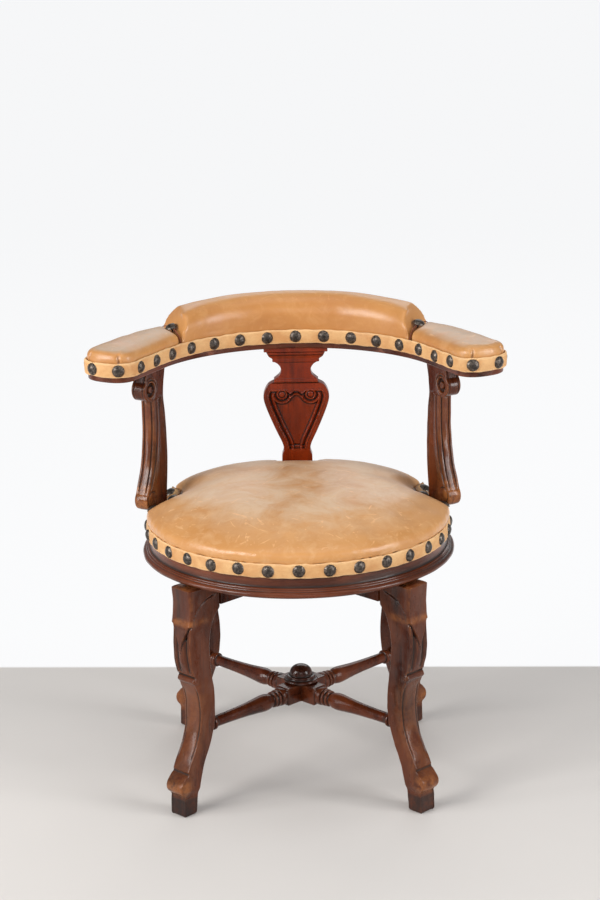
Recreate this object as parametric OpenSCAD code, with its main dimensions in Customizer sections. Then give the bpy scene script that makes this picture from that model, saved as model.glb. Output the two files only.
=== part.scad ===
// Swivel desk armchair. Four sawn wooden legs and a turned cross stretcher carry a round
// upholstered seat, which turns on an iron spindle. A horseshoe arm rail with a padded
// back stands on two scrolled supports and a shield-shaped splat.
//
// Millimetres. +Z is up and the floor is z = 0. The chair faces -Y. Left and right are
// the sitter's own, so the left side is +X. The swivel axis is the Z axis.

/* [Legs] */
// Height of each leg, from the floor to the seat's running gap
leg_h = 380; // [379:0.5:381]
// Thickness of the board that each leg is sawn from
leg_t = 40; // [36:1:42]
// Width of the carved cap on each knee
knee_t = 47; // [44:1:50]
// Width of the square peg that stands on the floor
foot_t = 31; // [27:1:34]

/* [Stretcher] */
// Height of the cross stretcher's centre line
bar_z = 138; // [130:1:150]
// Side of the square block at the middle of the stretcher
bar_block = 30; // [28:1:32]
// Diameter of the stretcher where it enters a leg
bar_end_d = 18; // [16:1:20]

/* [Swivel] */
// Diameter of the iron spindle
spindle_d = 24; // [20:1:26]
// Diametral running clearance of the spindle in its socket
spindle_gap = 0.1; // [0.06:0.02:0.16]
// Side of the square-section rails that join the leg tops under the seat
crossbar = 28; // [26:1:30]

/* [Seat] */
// Radius of the moulded rim
rim_r = 257; // [255:1:259]
// Radius of the plain band above the rim
band_r = 244.5; // [243:0.5:245.5]
// Height of the top face of the wooden seat frame
frame_top = 443; // [441:1:445]
// Height of the middle of the domed leather seat
crown_z = 506; // [500:1:512]

/* [Arms] */
// Height of the underside of the arm rail
rail_z = 680; // [678:1:682]
// Thickness of the arm rail's boards
rail_t = 26; // [24:1:28]
// Radius of the inner edge of the horseshoe
rail_ri = 250; // [249:1:251]
// Width of the rail at the middle of the back
rail_w = 55; // [54:1:56]
// Width of the rail at the arm tips
tip_w = 84; // [80:1:88]
// Height of the top of the back pad
back_top = 770; // [765:1:775]

/* [Upholstery] */
// Thickness of the leather covers
leather_t = 2; // [1.5:0.5:2.5]
// Thickness of the leather trim band
gimp_t = 3; // [2.5:0.5:3.5]
// Height of the leather trim band
gimp_h = 23; // [21:1:24]
// Diameter of a nail head
nail_d = 21; // [18:1:22]
// Number of nails around the seat
seat_nail_n = 32; // [28:1:34]
// Number of nails around the arm rail
rail_nail_n = 38; // [30:2:40]

/* [Hidden] */

$fn = 64;
wood = [0.36, 0.14, 0.07];
wood_dark = [0.24, 0.10, 0.06];
beech = [0.62, 0.45, 0.28];
iron = [0.20, 0.19, 0.19];
steel = [0.55, 0.55, 0.56];
brass = [0.70, 0.55, 0.25];
tan = [0.80, 0.58, 0.36];
straw = [0.86, 0.70, 0.46];
sacking = [0.62, 0.52, 0.36];
hair = [0.30, 0.24, 0.18];
bronze = [0.16, 0.14, 0.13];

front = [-45, -135];
rear = [45, 135];

// Heights that follow from one another, from the swivel upwards
fit_gap = 0.1;
screw_d = 4.5;
screw_head_d = 9;
screw_head_h = 2.2;
dowel_d = 8;
tenon_t = 12;
stud_r = 231;
stud_d = 6;
stud_l = 9;
peg_r = 216;
crossbar_w = 44;
crossbar_half = 200;
tenon_end = 231;
tenon_inset = 4;
arm_start = 52;
bar_seat_r = 223;
bar_l = bar_seat_r - arm_start;
bar_tenon_d = 12;
bar_tenon_l = 9;
socket_screw_r = 36;
plate_screw_r = 60;
plate_d = 150;
collar_d = 52;
washer_t = 3;
nut_t = 16;
nut_gap = 0.3;
seat_rail_w = 70;
frame_ri = 170;
well_r = 185;
crossbar_top = leg_h - 6;
crossbar_bottom = crossbar_top - crossbar;
flange_t = 5;
flange_top = crossbar_top + flange_t;
plate_z = leg_h + 3.5;
plate_t = 6;
seat_rail_z = plate_z + plate_t;
seat_rail_t = 20;
rim_z = 384;
ledge_z = 414;
gimp_z = frame_top - 2 - gimp_h;
rail_top = rail_z + rail_t;
arm_gimp_z = rail_z + 10;
arm_top = rail_top + 28;
crest_top = back_top - 18;

// The horseshoe rail is an arc about a point in front of the axis, then straight arms
rail_cy = -58;
arm_phi = 61;
arm_len = 84;
tip_len = 34;
joint_phi = 35;
seam_in = 49.5;
seam_out = 42.5;
support_w = 20;
support_t = 24;
scroll = [29, 650];
scroll_r = 19;
foot_scroll = [34, 462];
foot_scroll_r = 17;
foot_pin = [-7, -6.5];
foot_pin_d = 7;
splat_y = 203;
splat_t = 22;
crest_w = 18;
crest_t = 20;
crest_phi = 38;

// A smooth curve through points, n chords to each span
function spline(a, b, c, d, t) =
    0.5 * (2 * b + (c - a) * t + (2 * a - 5 * b + 4 * c - d) * t * t
    + (3 * b - a - 3 * c + d) * t * t * t);
function curve(p, n = 4) = [
    for (i = [0 : len(p) - 2], k = [0 : n - 1])
        spline(p[max(i - 1, 0)], p[i], p[i + 1], p[min(i + 2, len(p) - 1)], k / n),
    p[len(p) - 1]
];
function arc(c, r, from, to, n) = [
    for (i = [0 : n]) c + r * [cos(from + (to - from) * i / n), sin(from + (to - from) * i / n)]
];
function mirrored(p) = [for (i = [len(p) - 1 : -1 : 0]) [-p[i][0], p[i][1]]];
function reversed(p) = [for (i = [len(p) - 1 : -1 : 0]) p[i]];

// ---- Legs: outlines are (distance from the axis, height) in the diagonal plane ----

function leg_outer() = concat(
    [[289, 0], [287, 36]],
    arc([279, 51], 15, -60, 50, 6),
    curve([[280, 72], [268, 97], [257, 119], [249.5, 142], [246.5, 170], [248.5, 195],
        [254, 215], [261, 236], [267, 260], [269, 285], [267, 315], [263, 340]]),
    [[262.5, leg_h]]
);
function leg_inner() = concat(
    [[200, leg_h], [200, crossbar_bottom]],
    curve([[203, crossbar_bottom - 8], [213, 326], [222, 300], [225, 270], [221, 232],
        [216, 195], [216, 160], [220, 135], [230, 108], [244, 75], [253, 40], [258, 0]])
);

module in_plane(t) {
    rotate([90, 0, 0])
        linear_extrude(height = t, center = true)
            children();
}

module leg_board() {
    difference() {
        in_plane(leg_t) polygon(concat(leg_outer(), leg_inner()));
        for (s = [-1, 1])
            translate([240, s * (foot_t / 2 + 20), 17.8])
                cube([120, 40, 36], center = true);
    }
    in_plane(knee_t)
        polygon([[265.5, leg_h - 4], [265.5, 331], [240, 331], [222, 356], [212, leg_h - 4]]);
    in_plane(46)
        polygon([[250, 219], [258, 219], [262, 227], [262, 231], [250, 231]]);
}

module leg(angle) {
    color(wood)
        rotate([0, 0, angle])
            difference() {
                leg_board();
                // Mortise for the top crossbar, its drilled peg hole, and the stretcher's socket
                translate([crossbar_half, -tenon_t / 2 - fit_gap, crossbar_bottom + tenon_inset])
                    cube([tenon_end + 1 - crossbar_half, tenon_t + 2 * fit_gap,
                        crossbar - 2 * tenon_inset]);
                translate([peg_r, 0, crossbar_bottom + crossbar / 2])
                    rotate([90, 0, 0])
                        cylinder(h = knee_t + 10, d = dowel_d, center = true);
                translate([bar_seat_r - 20, 0, bar_z])
                    rotate([0, 90, 0])
                        cylinder(h = 20, d = bar_end_d + fit_gap);
                translate([bar_seat_r - 1, 0, bar_z])
                    rotate([0, 90, 0])
                        cylinder(h = bar_tenon_l + 2, d = bar_tenon_d + fit_gap);
                translate([stud_r, 0, leg_h - stud_l])
                    cylinder(h = stud_l + 1, d = stud_d);
            }
}

// ---- Cross stretcher ----

function bar_profile() = concat(
    [[0, 0], [14, 0], [14, 4]],
    arc([12.5, 7], 2.6, -60, 60, 4),
    [[11, 10]],
    arc([12, 13.5], 2.6, -60, 60, 4),
    [[10.5, 17]],
    curve([[11.5, 19], [13.6, 28], [13.8, 38], [12.4, 56], [10.8, 95], [9.4, 152]]),
    arc([9.6, 157], 2.6, -60, 60, 4),
    [[bar_end_d / 2, 161], [bar_end_d / 2, bar_l], [bar_tenon_d / 2, bar_l]],
    [[bar_tenon_d / 2, bar_l + bar_tenon_l], [0, bar_l + bar_tenon_l]]
);

module bar_arm() {
    rotate([0, 90, 0])
        rotate_extrude()
            polygon(bar_profile());
}

// One straight bar from leg to leg, with half of its middle cut away for the other bar
module bar(angle, cut) {
    half = bar_block / 2;
    color(wood)
        rotate([0, 0, angle])
            difference() {
                union() {
                    translate([0, 0, bar_z])
                        cube([2 * arm_start, bar_block, bar_block], center = true);
                    for (side = [0, 180])
                        translate([0, 0, bar_z])
                            rotate([0, 0, side])
                                translate([arm_start, 0, 0])
                                    bar_arm();
                }
                translate([0, 0, bar_z + cut * half])
                    cube([bar_block + 0.2, bar_block + 1, bar_block], center = true);
                translate([0, 0, bar_z])
                    cylinder(h = bar_block + 2, d = 12 + 2 * fit_gap, center = true);
                // Sloping chamfers on the block's upper edges
                for (s = [-1, 1])
                    translate([0, s * half, bar_z + half])
                        rotate([45, 0, 0])
                            cube([2 * arm_start + 2, 8, 8], center = true);
            }
}

module stretcher_finial() {
    z0 = bar_z + bar_block / 2;
    color(wood_dark)
        translate([0, 0, z0])
            rotate_extrude()
                polygon(concat(
                    [[0, -24], [6, -24], [6, 0], [27, 0]],
                    arc([27, 3], 2.6, -80, 80, 5),
                    [[24, 6.5], [23.5, 9.5], [20, 11]],
                    [for (a = [0 : 10 : 90]) [19.5 * cos(a), 12 + 18 * sin(a)]]
                ));
}

// ---- Fixed top frame and swivel ----

module crossbar_rail(angle, cut) {
    color(beech)
        rotate([0, 0, angle])
            difference() {
                union() {
                    translate([-crossbar_half, -crossbar_w / 2, crossbar_bottom])
                        cube([2 * crossbar_half, crossbar_w, crossbar]);
                    translate([-tenon_end, -tenon_t / 2, crossbar_bottom + tenon_inset + 0.2])
                        cube([2 * tenon_end, tenon_t, crossbar - 2 * tenon_inset - 0.4]);
                }
                translate([0, 0, crossbar_bottom + crossbar / 2 + cut * crossbar / 2])
                    cube([crossbar_w + 0.2, crossbar_w + 2, crossbar], center = true);
                translate([0, 0, crossbar_bottom - 1])
                    cylinder(h = crossbar + 2, d = spindle_d + 12);
                for (x = [-socket_screw_r, socket_screw_r])
                    translate([x, 0, crossbar_top - 24])
                        cylinder(h = 30, d = screw_d);
                for (x = [-peg_r, peg_r])
                    translate([x, 0, crossbar_bottom + crossbar / 2])
                        rotate([90, 0, 0])
                            cylinder(h = 60, d = dowel_d, center = true);
            }
}

// Pegs through the crossbar tenons
module leg_wedges() {
    color(beech)
        for (a = concat(front, rear))
            rotate([0, 0, a])
                translate([peg_r, 0, crossbar_bottom + crossbar / 2])
                    rotate([90, 0, 0])
                        cylinder(h = leg_t, d = dowel_d, center = true);
}

// Domed brass studs on the leg tops, which the seat frame runs over
module glide_studs() {
    color(brass)
        for (a = concat(front, rear))
            rotate([0, 0, a])
                translate([stud_r, 0, leg_h])
                    rotate_extrude()
                        polygon([[0, -stud_l], [stud_d / 2, -stud_l], [stud_d / 2, 0], [9, 0],
                            [8, 2], [4, 3.6], [0, 3.6]]);
}

module pivot_socket() {
    color(iron)
        difference() {
            union() {
                translate([0, 0, crossbar_top])
                    cylinder(h = flange_t, d = 96);
                translate([0, 0, crossbar_bottom])
                    cylinder(h = crossbar, d = spindle_d + 12);
            }
            translate([0, 0, crossbar_bottom - 1])
                cylinder(h = crossbar + flange_t + 2, d = spindle_d + spindle_gap);
            for (a = concat(front, rear))
                rotate([0, 0, a])
                    translate([socket_screw_r, 0, crossbar_top - 1])
                        cylinder(h = flange_t + 2, d = screw_d);
        }
}

module screw(shank_l) {
    rotate_extrude()
        polygon([[0, -shank_l], [screw_d / 4, -shank_l + 1], [screw_d / 2, -shank_l + 4],
            [screw_d / 2, 0], [screw_head_d / 2, 0], [screw_head_d / 2 - 0.6, screw_head_h],
            [0, screw_head_h]]);
}

module socket_screws() {
    color(steel)
        for (a = concat(front, rear))
            rotate([0, 0, a])
                translate([socket_screw_r, 0, flange_top])
                    screw(28);
}

module spindle() {
    shaft_bottom = crossbar_bottom - 26;
    color(iron)
        difference() {
            union() {
                translate([0, 0, shaft_bottom])
                    cylinder(h = plate_z - shaft_bottom + 1, d = spindle_d);
                translate([0, 0, flange_top + fit_gap])
                    cylinder(h = plate_z - flange_top - fit_gap + 1, d = collar_d);
                translate([0, 0, plate_z])
                    cylinder(h = plate_t, d = plate_d);
            }
            for (a = [0 : 90 : 270])
                rotate([0, 0, a])
                    translate([plate_screw_r, 0, plate_z - 1])
                        cylinder(h = plate_t + 2, d = screw_d);
        }
}

module spindle_washer() {
    color(steel)
        translate([0, 0, crossbar_bottom - nut_gap - washer_t])
            difference() {
                cylinder(h = washer_t, d = collar_d);
                translate([0, 0, -1])
                    cylinder(h = washer_t + 2, d = spindle_d);
            }
}

module spindle_nut() {
    color(iron)
        translate([0, 0, crossbar_bottom - nut_gap - washer_t - nut_t])
            difference() {
                cylinder(h = nut_t, d = 42, $fn = 6);
                translate([0, 0, -1])
                    cylinder(h = nut_t + 2, d = spindle_d);
            }
}

module plate_screws() {
    color(steel)
        for (a = [0 : 90 : 270])
            rotate([0, 0, a])
                translate([plate_screw_r, 0, plate_z])
                    rotate([180, 0, 0])
                        screw(22);
}

// ---- Seat frame and its inner parts ----

// A plank across the seat frame, half cut away where the other one crosses it
module seat_rail(angle, cut) {
    color(beech)
        rotate([0, 0, angle])
            difference() {
                translate([-191.8, -seat_rail_w / 2, seat_rail_z])
                    cube([2 * 191.8, seat_rail_w, seat_rail_t]);
                translate([0, 0, seat_rail_z + seat_rail_t / 2 + cut * seat_rail_t / 2])
                    cube([seat_rail_w + 0.2, seat_rail_w + 2, seat_rail_t], center = true);
                for (a = [0 : 90 : 270])
                    rotate([0, 0, a])
                        translate([plate_screw_r, 0, seat_rail_z - 1])
                            cylinder(h = 18, d = screw_d);
            }
}

module seat_frame() {
    color(wood)
        difference() {
            rotate_extrude($fn = 128)
                polygon(concat(
                    [[frame_ri, rim_z], [250, rim_z]],
                    [[251.5, rim_z + 2.5]],
                    arc([rim_r - 4.5, rim_z + 7], 4.5, -70, 70, 6),
                    [[251.5, rim_z + 12], [250, rim_z + 14], [band_r + 2, rim_z + 15.5]],
                    [[band_r, rim_z + 18], [band_r, frame_top], [well_r, frame_top]],
                    [[well_r, ledge_z], [frame_ri, ledge_z]]
                ));
            for (a = [0 : 90 : 270])
                rotate([0, 0, a])
                    translate([150, -seat_rail_w / 2 - fit_gap, seat_rail_z - fit_gap])
                        cube([42, seat_rail_w + 2 * fit_gap, seat_rail_t + 2 * fit_gap]);
            for (side = [1, -1])
                at_support(side)
                    translate(concat(foot_pin, [frame_top - 25]))
                        cylinder(h = 30, d = foot_pin_d);
            translate([-15, 210, frame_top - 18])
                cube([30, 10, 30]);
        }
}

// Interlaced straps in two layers, tacked to the ledge inside the frame
module seat_webbing() {
    color(sacking)
        for (layer = [0, 1])
            rotate([0, 0, 90 * layer])
                for (x = [-120 : 60 : 120])
                    let (half = sqrt(pow(well_r - 2, 2) - pow(abs(x) + 24, 2)))
                        translate([x - 24, -half, ledge_z + layer * 1.6])
                            cube([48, 2 * half, 1.5]);
}

// One hourglass coil spring as a tube swept along a helix
module coil_spring(r_end, r_mid, h, turns, wire) {
    steps = 14;
    sides = 6;
    n = turns * steps;
    path = [for (i = [0 : n])
        let (f = i / n, r = r_mid + (r_end - r_mid) * pow(2 * f - 1, 2), a = 360 * i / steps)
            [r * cos(a), r * sin(a), wire / 2 + f * (h - wire)]];
    rings = [for (i = [0 : n], k = [0 : sides - 1])
        let (a = 360 * i / steps, b = 360 * k / sides)
            path[i] + wire / 2 * [cos(b) * cos(a), cos(b) * sin(a), sin(b)]];
    polyhedron(
        points = rings,
        faces = concat(
            [[for (k = [0 : sides - 1]) k]],
            [for (i = [0 : n - 1], k = [0 : sides - 1])
                [i * sides + k, (i + 1) * sides + k,
                (i + 1) * sides + (k + 1) % sides, i * sides + (k + 1) % sides]],
            [[for (k = [sides - 1 : -1 : 0]) n * sides + k]]
        )
    );
}

module seat_springs() {
    z0 = ledge_z + 3.4;
    color(steel)
        for (p = [[0, 0], [92, 0], [-92, 0], [0, 92], [0, -92]])
            translate([p[0], p[1], z0])
                coil_spring(32, 22, frame_top + 9 - z0, 4, 3.2);
}

module seat_hessian() {
    color(sacking)
        difference() {
            rotate_extrude($fn = 96)
                polygon([[0, frame_top + 9.3], [150, frame_top + 9.3], [232, frame_top + 0.2],
                    [232, frame_top + 1.2], [150, frame_top + 10.3], [0, frame_top + 10.3]]);
            seat_notches(2);
        }
}

// Cut-outs in the upholstery where the arm supports and the splat pass through it
module seat_notches(gap) {
    for (side = [1, -1])
        at_support(side)
            translate([-24 - gap, -support_t / 2 - gap, frame_top - 1])
                cube([120, 90, 100]);
    translate([-29 - gap, splat_y - 2 - gap, frame_top - 1])
        cube([58 + 2 * gap, 90, 100]);
}

function dome(r, top, z_side) = [
    for (a = [0 : 9 : 90]) [r * pow(sin(a), 0.8), z_side + (top - z_side) * pow(cos(a), 1.1)]
];

module seat_stuffing() {
    color(hair)
        difference() {
            rotate_extrude($fn = 96)
                polygon(concat(
                    dome(253, crown_z - leather_t, frame_top + 10),
                    [[250.8, frame_top + 4.6], [band_r - 0.3, frame_top + 0.2]],
                    [[235, frame_top + 0.2]],
                    [[235, frame_top + 1.2], [150, frame_top + 10.5], [0, frame_top + 10.5]]
                ));
            seat_notches(leather_t + 2);
        }
}

module seat_leather() {
    color(tan)
        difference() {
            rotate_extrude($fn = 96)
                polygon(concat(
                    dome(255, crown_z, frame_top + 10),
                    [[253, frame_top + 3], [band_r + leather_t, frame_top - 1]],
                    [[band_r + leather_t, gimp_z], [band_r, gimp_z]],
                    [[band_r, frame_top + 0.2], [251.2, frame_top + 4.2]],
                    reversed(dome(253.2, crown_z - leather_t + 0.1, frame_top + 10))
                ));
            seat_notches(2);
        }
}

module seat_gimp() {
    color(straw)
        rotate_extrude($fn = 96)
            translate([band_r + leather_t, gimp_z])
                square([gimp_t, gimp_h - 1]);
}

// A domed upholstery nail, driven along -Z with its head on the z = 0 plane
module nail() {
    rotate_extrude($fn = 24)
        polygon([[0, -12], [1.2, -10], [1.2, 0], [nail_d / 2, 0], [nail_d / 2 - 0.6, 1.6],
            [nail_d / 2 - 3, 3.6], [nail_d / 4, 4.7], [0, 5]]);
}

module seat_nails() {
    color(bronze)
        for (i = [0 : seat_nail_n - 1])
            rotate([0, 0, -90 + i * 360 / seat_nail_n])
                translate([band_r + leather_t + gimp_t, 0, gimp_z + gimp_h / 2])
                    rotate([0, 90, 0])
                        nail();
}

// ---- Horseshoe rail, measured from its arc about [0, rail_cy] ----

function on_arc(r, phi) = [r * sin(phi), rail_cy + r * cos(phi)];
function arm_pt(u, w) = on_arc(rail_ri + w, arm_phi) + u * [cos(arm_phi), -sin(arm_phi)];
function ease(s) = s * s * (3 - 2 * s);
arc_len = rail_ri * arm_phi * PI / 180;
function rail_w_at(along) = rail_w + (tip_w - rail_w) * ease(along / (arc_len + arm_len));
function rail_w_phi(phi) = rail_w_at(rail_ri * phi * PI / 180);

// Closed outline of one side of the rail, grown by g. It runs from the angles phi_in on
// the inner edge and phi_out on the outer edge to the arm tip.
function arm_outline(phi_in, phi_out, g, n = 10) = concat(
    [for (i = [0 : n]) on_arc(rail_ri - g, phi_in + (arm_phi - phi_in) * i / n)],
    [for (t = [-90 : 15 : 90]) arm_pt(
        arm_len + (tip_len + g) * pow(cos(t), 0.83),
        tip_w / 2 + (tip_w / 2 + g) * sign(sin(t)) * pow(abs(sin(t)), 0.83))],
    [for (u = [arm_len / 2 : -arm_len / 2 : 0]) arm_pt(u, rail_w_at(arc_len + u) + g)],
    [for (i = [n - 1 : -1 : 0])
        let (phi = phi_out + (arm_phi - phi_out) * i / n)
            on_arc(rail_ri + rail_w_phi(phi) + g, phi)]
);
function full_outline(g) =
    let (half = arm_outline(0, 0, g, 24), last = len(half) - 1)
        concat(half, [for (i = [last - 1 : -1 : 1]) [-half[i][0], half[i][1]]]);
function back_outline(phi_in, phi_out, g, n = 16) = concat(
    [for (i = [-n : n]) on_arc(rail_ri - g, phi_in * i / n)],
    [for (i = [n : -1 : -n])
        on_arc(rail_ri + rail_w_phi(abs(phi_out * i / n)) + g, phi_out * i / n)]
);

module slab(outline, z0, z1) {
    translate([0, 0, z0])
        linear_extrude(height = z1 - z0)
            polygon(outline);
}

// side = 1 is the sitter's left, side = -1 the right
module on_side(side) {
    mirror([side < 0 ? 1 : 0, 0, 0])
        children();
}

// Local X runs forward along the arm, local Y outward from the support's mid plane
module at_support(side) {
    on_side(side)
        translate(concat(arm_pt(0, support_w), [0]))
            rotate([0, 0, -arm_phi])
                children();
}

function support_profile() = concat(
    [[-20, rail_z], [38, rail_z]],
    arc(scroll, scroll_r, 45, -135, 12),
    curve([[23, 629], [20, 607], [20, 580], [23, 550], [30, 515], [41, 488]]),
    arc(foot_scroll, foot_scroll_r, 42, -100, 8),
    [[26, frame_top + 5], [-13, frame_top + 5]],
    curve([[-15, 470], [-19, 510], [-19, 560], [-16, 600], [-12, 630], [-14, 655]])
);

module arm_support(side) {
    color(wood)
        difference() {
            at_support(side) {
                in_plane(support_t) polygon(support_profile());
                translate([-13, -support_t / 2, frame_top])
                    cube([13, support_t / 2, 12]);
            }
            at_support(side) {
                translate(concat(foot_pin, [frame_top - 1]))
                    cylinder(h = 22, d = foot_pin_d);
                for (x = [-4, 16])
                    translate([x, 0, rail_z - 24])
                        cylinder(h = 30, d = screw_d);
                // Eye of the scroll, sunk into both faces
                for (s = [-1, 1])
                    translate([scroll[0], s * support_t / 2, scroll[1]])
                        rotate([90, 0, 0])
                            cylinder(h = 6, d = 16, center = true);
            }
        }
}

module support_dowels() {
    color(beech)
        for (side = [1, -1])
            at_support(side)
                translate(concat(foot_pin, [frame_top - 24.8]))
                    cylinder(h = 44, d = foot_pin_d);
}

// ---- Splat ----

function splat_half() = concat(
    [[54.5, rail_z], [54.5, rail_z - 8.5], [50, rail_z - 8.5]],
    curve([[49, rail_z - 11], [46, rail_z - 17], [40, rail_z - 21]], 3),
    [[40, rail_z - 26], [36, rail_z - 27]],
    curve([[30, rail_z - 31], [25.5, rail_z - 39], [28, rail_z - 49], [38, rail_z - 58]], 4),
    [[38, rail_z - 62]],
    curve([[45, rail_z - 66], [54, rail_z - 78], [56, rail_z - 91], [50, rail_z - 112],
        [36, rail_z - 146], [25, rail_z - 170], [23, rail_z - 182], [26, rail_z - 192]], 4),
    [[26, frame_top + 0.1]]
);

module back_splat() {
    half = splat_half();
    color(wood)
        difference() {
            union() {
                translate([0, splat_y + splat_t / 2, 0])
                    in_plane(splat_t) polygon(concat(half, mirrored(half)));
                translate([-14.9, splat_y + 7.1, frame_top - 17])
                    cube([29.8, 9.8, 20]);
            }
            // Sunk shield panel
            translate([0, splat_y + 1.5, 0])
                in_plane(3.2)
                    polygon([[-32, rail_z - 84], [32, rail_z - 84], [36, rail_z - 94],
                        [14, rail_z - 160], [-14, rail_z - 160], [-36, rail_z - 94]]);
            for (x = [-30, 30])
                translate([x, splat_y + splat_t / 2, rail_z - 24])
                    cylinder(h = 30, d = screw_d);
        }
}

// ---- Rail, crest and their pads ----

module rail_joint_bores(side) {
    for (w = [16, 44])
        on_side(side)
            translate(concat(on_arc(rail_ri + w, joint_phi), [rail_z + rail_t / 2]))
                rotate([0, 0, -joint_phi])
                    rotate([0, 90, 0])
                        cylinder(h = 50, d = dowel_d, center = true);
}

module rail_screw_places() {
    for (side = [1, -1])
        at_support(side)
            for (x = [-4, 16])
                translate([x, 0, rail_top])
                    children();
    for (x = [-30, 30])
        translate([x, splat_y + splat_t / 2, rail_top])
            children();
}

module rail_cuts() {
    rail_screw_places()
        translate([0, 0, -rail_t - 1])
            cylinder(h = rail_t + 2, d = screw_d);
    rail_screw_places()
        translate([0, 0, -3])
            cylinder(h = 4, d = screw_head_d + 0.5);
}

module arm_rail(side) {
    color(wood)
        difference() {
            on_side(side)
                slab(arm_outline(joint_phi, joint_phi, 0), rail_z, rail_top);
            rail_joint_bores(side);
            rail_cuts();
        }
}

module back_rail() {
    color(wood)
        difference() {
            slab(back_outline(joint_phi, joint_phi, 0), rail_z, rail_top);
            for (side = [1, -1])
                rail_joint_bores(side);
            rail_cuts();
            crest_dowel_places()
                cylinder(h = 40, d = dowel_d, center = true);
        }
}

module rail_dowels() {
    color(beech)
        for (side = [1, -1])
            rail_joint_bores(side);
}

module rail_screws() {
    color(steel)
        rail_screw_places()
            translate([0, 0, -2.8])
                screw(44);
}

module crest_dowel_places() {
    for (phi = [-26, 0, 26])
        translate(concat(on_arc(rail_ri + crest_w + crest_t / 2, phi), [rail_top]))
            children();
}

module back_crest() {
    n = 12;
    color(beech)
        difference() {
            slab(concat(
                [for (i = [-n : n]) on_arc(rail_ri + crest_w, crest_phi * i / n)],
                [for (i = [n : -1 : -n])
                    on_arc(rail_ri + crest_w + crest_t, crest_phi * i / n)]
            ), rail_top, crest_top);
            crest_dowel_places()
                cylinder(h = 40, d = dowel_d, center = true);
        }
}

module crest_dowels() {
    color(beech)
        crest_dowel_places()
            cylinder(h = 40, d = dowel_d, center = true);
}

// Pad outlines, held back from the seam between arm and back pad by an angle
function pad_outline(back_off, g) = arm_outline(seam_in + back_off, seam_out + back_off, g);
function back_pad_outline(back_off, g) =
    back_outline(seam_in - back_off, seam_out - back_off, g, 20);

module arm_stuffing(side) {
    color(hair)
        on_side(side)
            slab(pad_outline(0.8, -0.2), rail_top, arm_top - leather_t - 0.2);
}

module back_stuffing() {
    n = 12;
    color(hair)
        difference() {
            slab(back_pad_outline(0.8, -0.2), rail_top, back_top - leather_t - 0.2);
            slab(concat(
                [for (i = [-n : n]) on_arc(rail_ri + crest_w - 0.1, (crest_phi + 0.1) * i / n)],
                [for (i = [n : -1 : -n])
                    on_arc(rail_ri + crest_w + crest_t + 0.1, (crest_phi + 0.1) * i / n)]
            ), rail_top - 1, crest_top + 0.1);
        }
}

module arm_leather(side) {
    color(tan)
        on_side(side)
            difference() {
                slab(pad_outline(0.2, leather_t), arm_gimp_z, arm_top);
                slab(pad_outline(0.6, 0), rail_top - 1, arm_top - leather_t);
                slab(pad_outline(-2, 0.15), rail_z, rail_top + 0.1);
            }
}

module back_leather() {
    color(tan)
        difference() {
            slab(back_pad_outline(0.2, leather_t), arm_gimp_z, back_top);
            slab(back_pad_outline(0.6, 0), rail_top - 1, back_top - leather_t);
            slab(back_pad_outline(-2, 0.15), rail_z, rail_top + 0.1);
        }
}

module arm_gimp() {
    color(straw)
        difference() {
            slab(full_outline(leather_t + gimp_t), arm_gimp_z, arm_gimp_z + gimp_h);
            slab(full_outline(leather_t + 0.2), arm_gimp_z - 1, arm_gimp_z + gimp_h + 1);
        }
}

// Point and direction at a distance s along a closed outline
function at_length(p, s, i = 0) =
    let (a = p[i % len(p)], step = p[(i + 1) % len(p)] - a, d = norm(step))
        s <= d ? [a + step * s / d, step / d] : at_length(p, s - d, i + 1);
function outline_length(p, i = 0) =
    i == len(p) ? 0 : norm(p[(i + 1) % len(p)] - p[i]) + outline_length(p, i + 1);

module arm_nails() {
    line = full_outline(leather_t + gimp_t);
    total = outline_length(line);
    color(bronze)
        for (i = [0 : rail_nail_n - 1])
            let (spot = at_length(line, i * total / rail_nail_n))
                translate(concat(spot[0], [arm_gimp_z + gimp_h / 2]))
                    rotate([0, 0, atan2(-spot[1][0], spot[1][1])])
                        rotate([0, 90, 0])
                            nail();
}

leg(front[0]);  // front_left_leg
leg(front[1]);  // front_right_leg
leg(rear[0]);  // rear_left_leg
leg(rear[1]);  // rear_right_leg
bar(45, 1);  // stretcher_lower
bar(-45, -1);  // stretcher_upper
stretcher_finial();
crossbar_rail(45, 1);  // crossbar_lower
crossbar_rail(-45, -1);  // crossbar_upper
leg_wedges();
glide_studs();
pivot_socket();
socket_screws();
spindle();
spindle_washer();
spindle_nut();
plate_screws();
seat_rail(0, 1);  // seat_rail_lower
seat_rail(90, -1);  // seat_rail_upper
seat_frame();
seat_webbing();
seat_springs();
seat_hessian();
seat_stuffing();
seat_leather();
seat_gimp();
seat_nails();
arm_support(1);  // left_arm_support
arm_support(-1);  // right_arm_support
support_dowels();
back_splat();
back_rail();
arm_rail(1);  // left_arm_rail
arm_rail(-1);  // right_arm_rail
rail_dowels();
rail_screws();
back_crest();
crest_dowels();
arm_stuffing(1);  // left_arm_stuffing
arm_stuffing(-1);  // right_arm_stuffing
back_stuffing();
arm_leather(1);  // left_arm_leather
arm_leather(-1);  // right_arm_leather
back_leather();
arm_gimp();
arm_nails();
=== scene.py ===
"""Swivel desk armchair: the visible pieces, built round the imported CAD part."""

import math

import bmesh
import bpy
import numpy as np
from mathutils import Matrix, Vector


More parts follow.
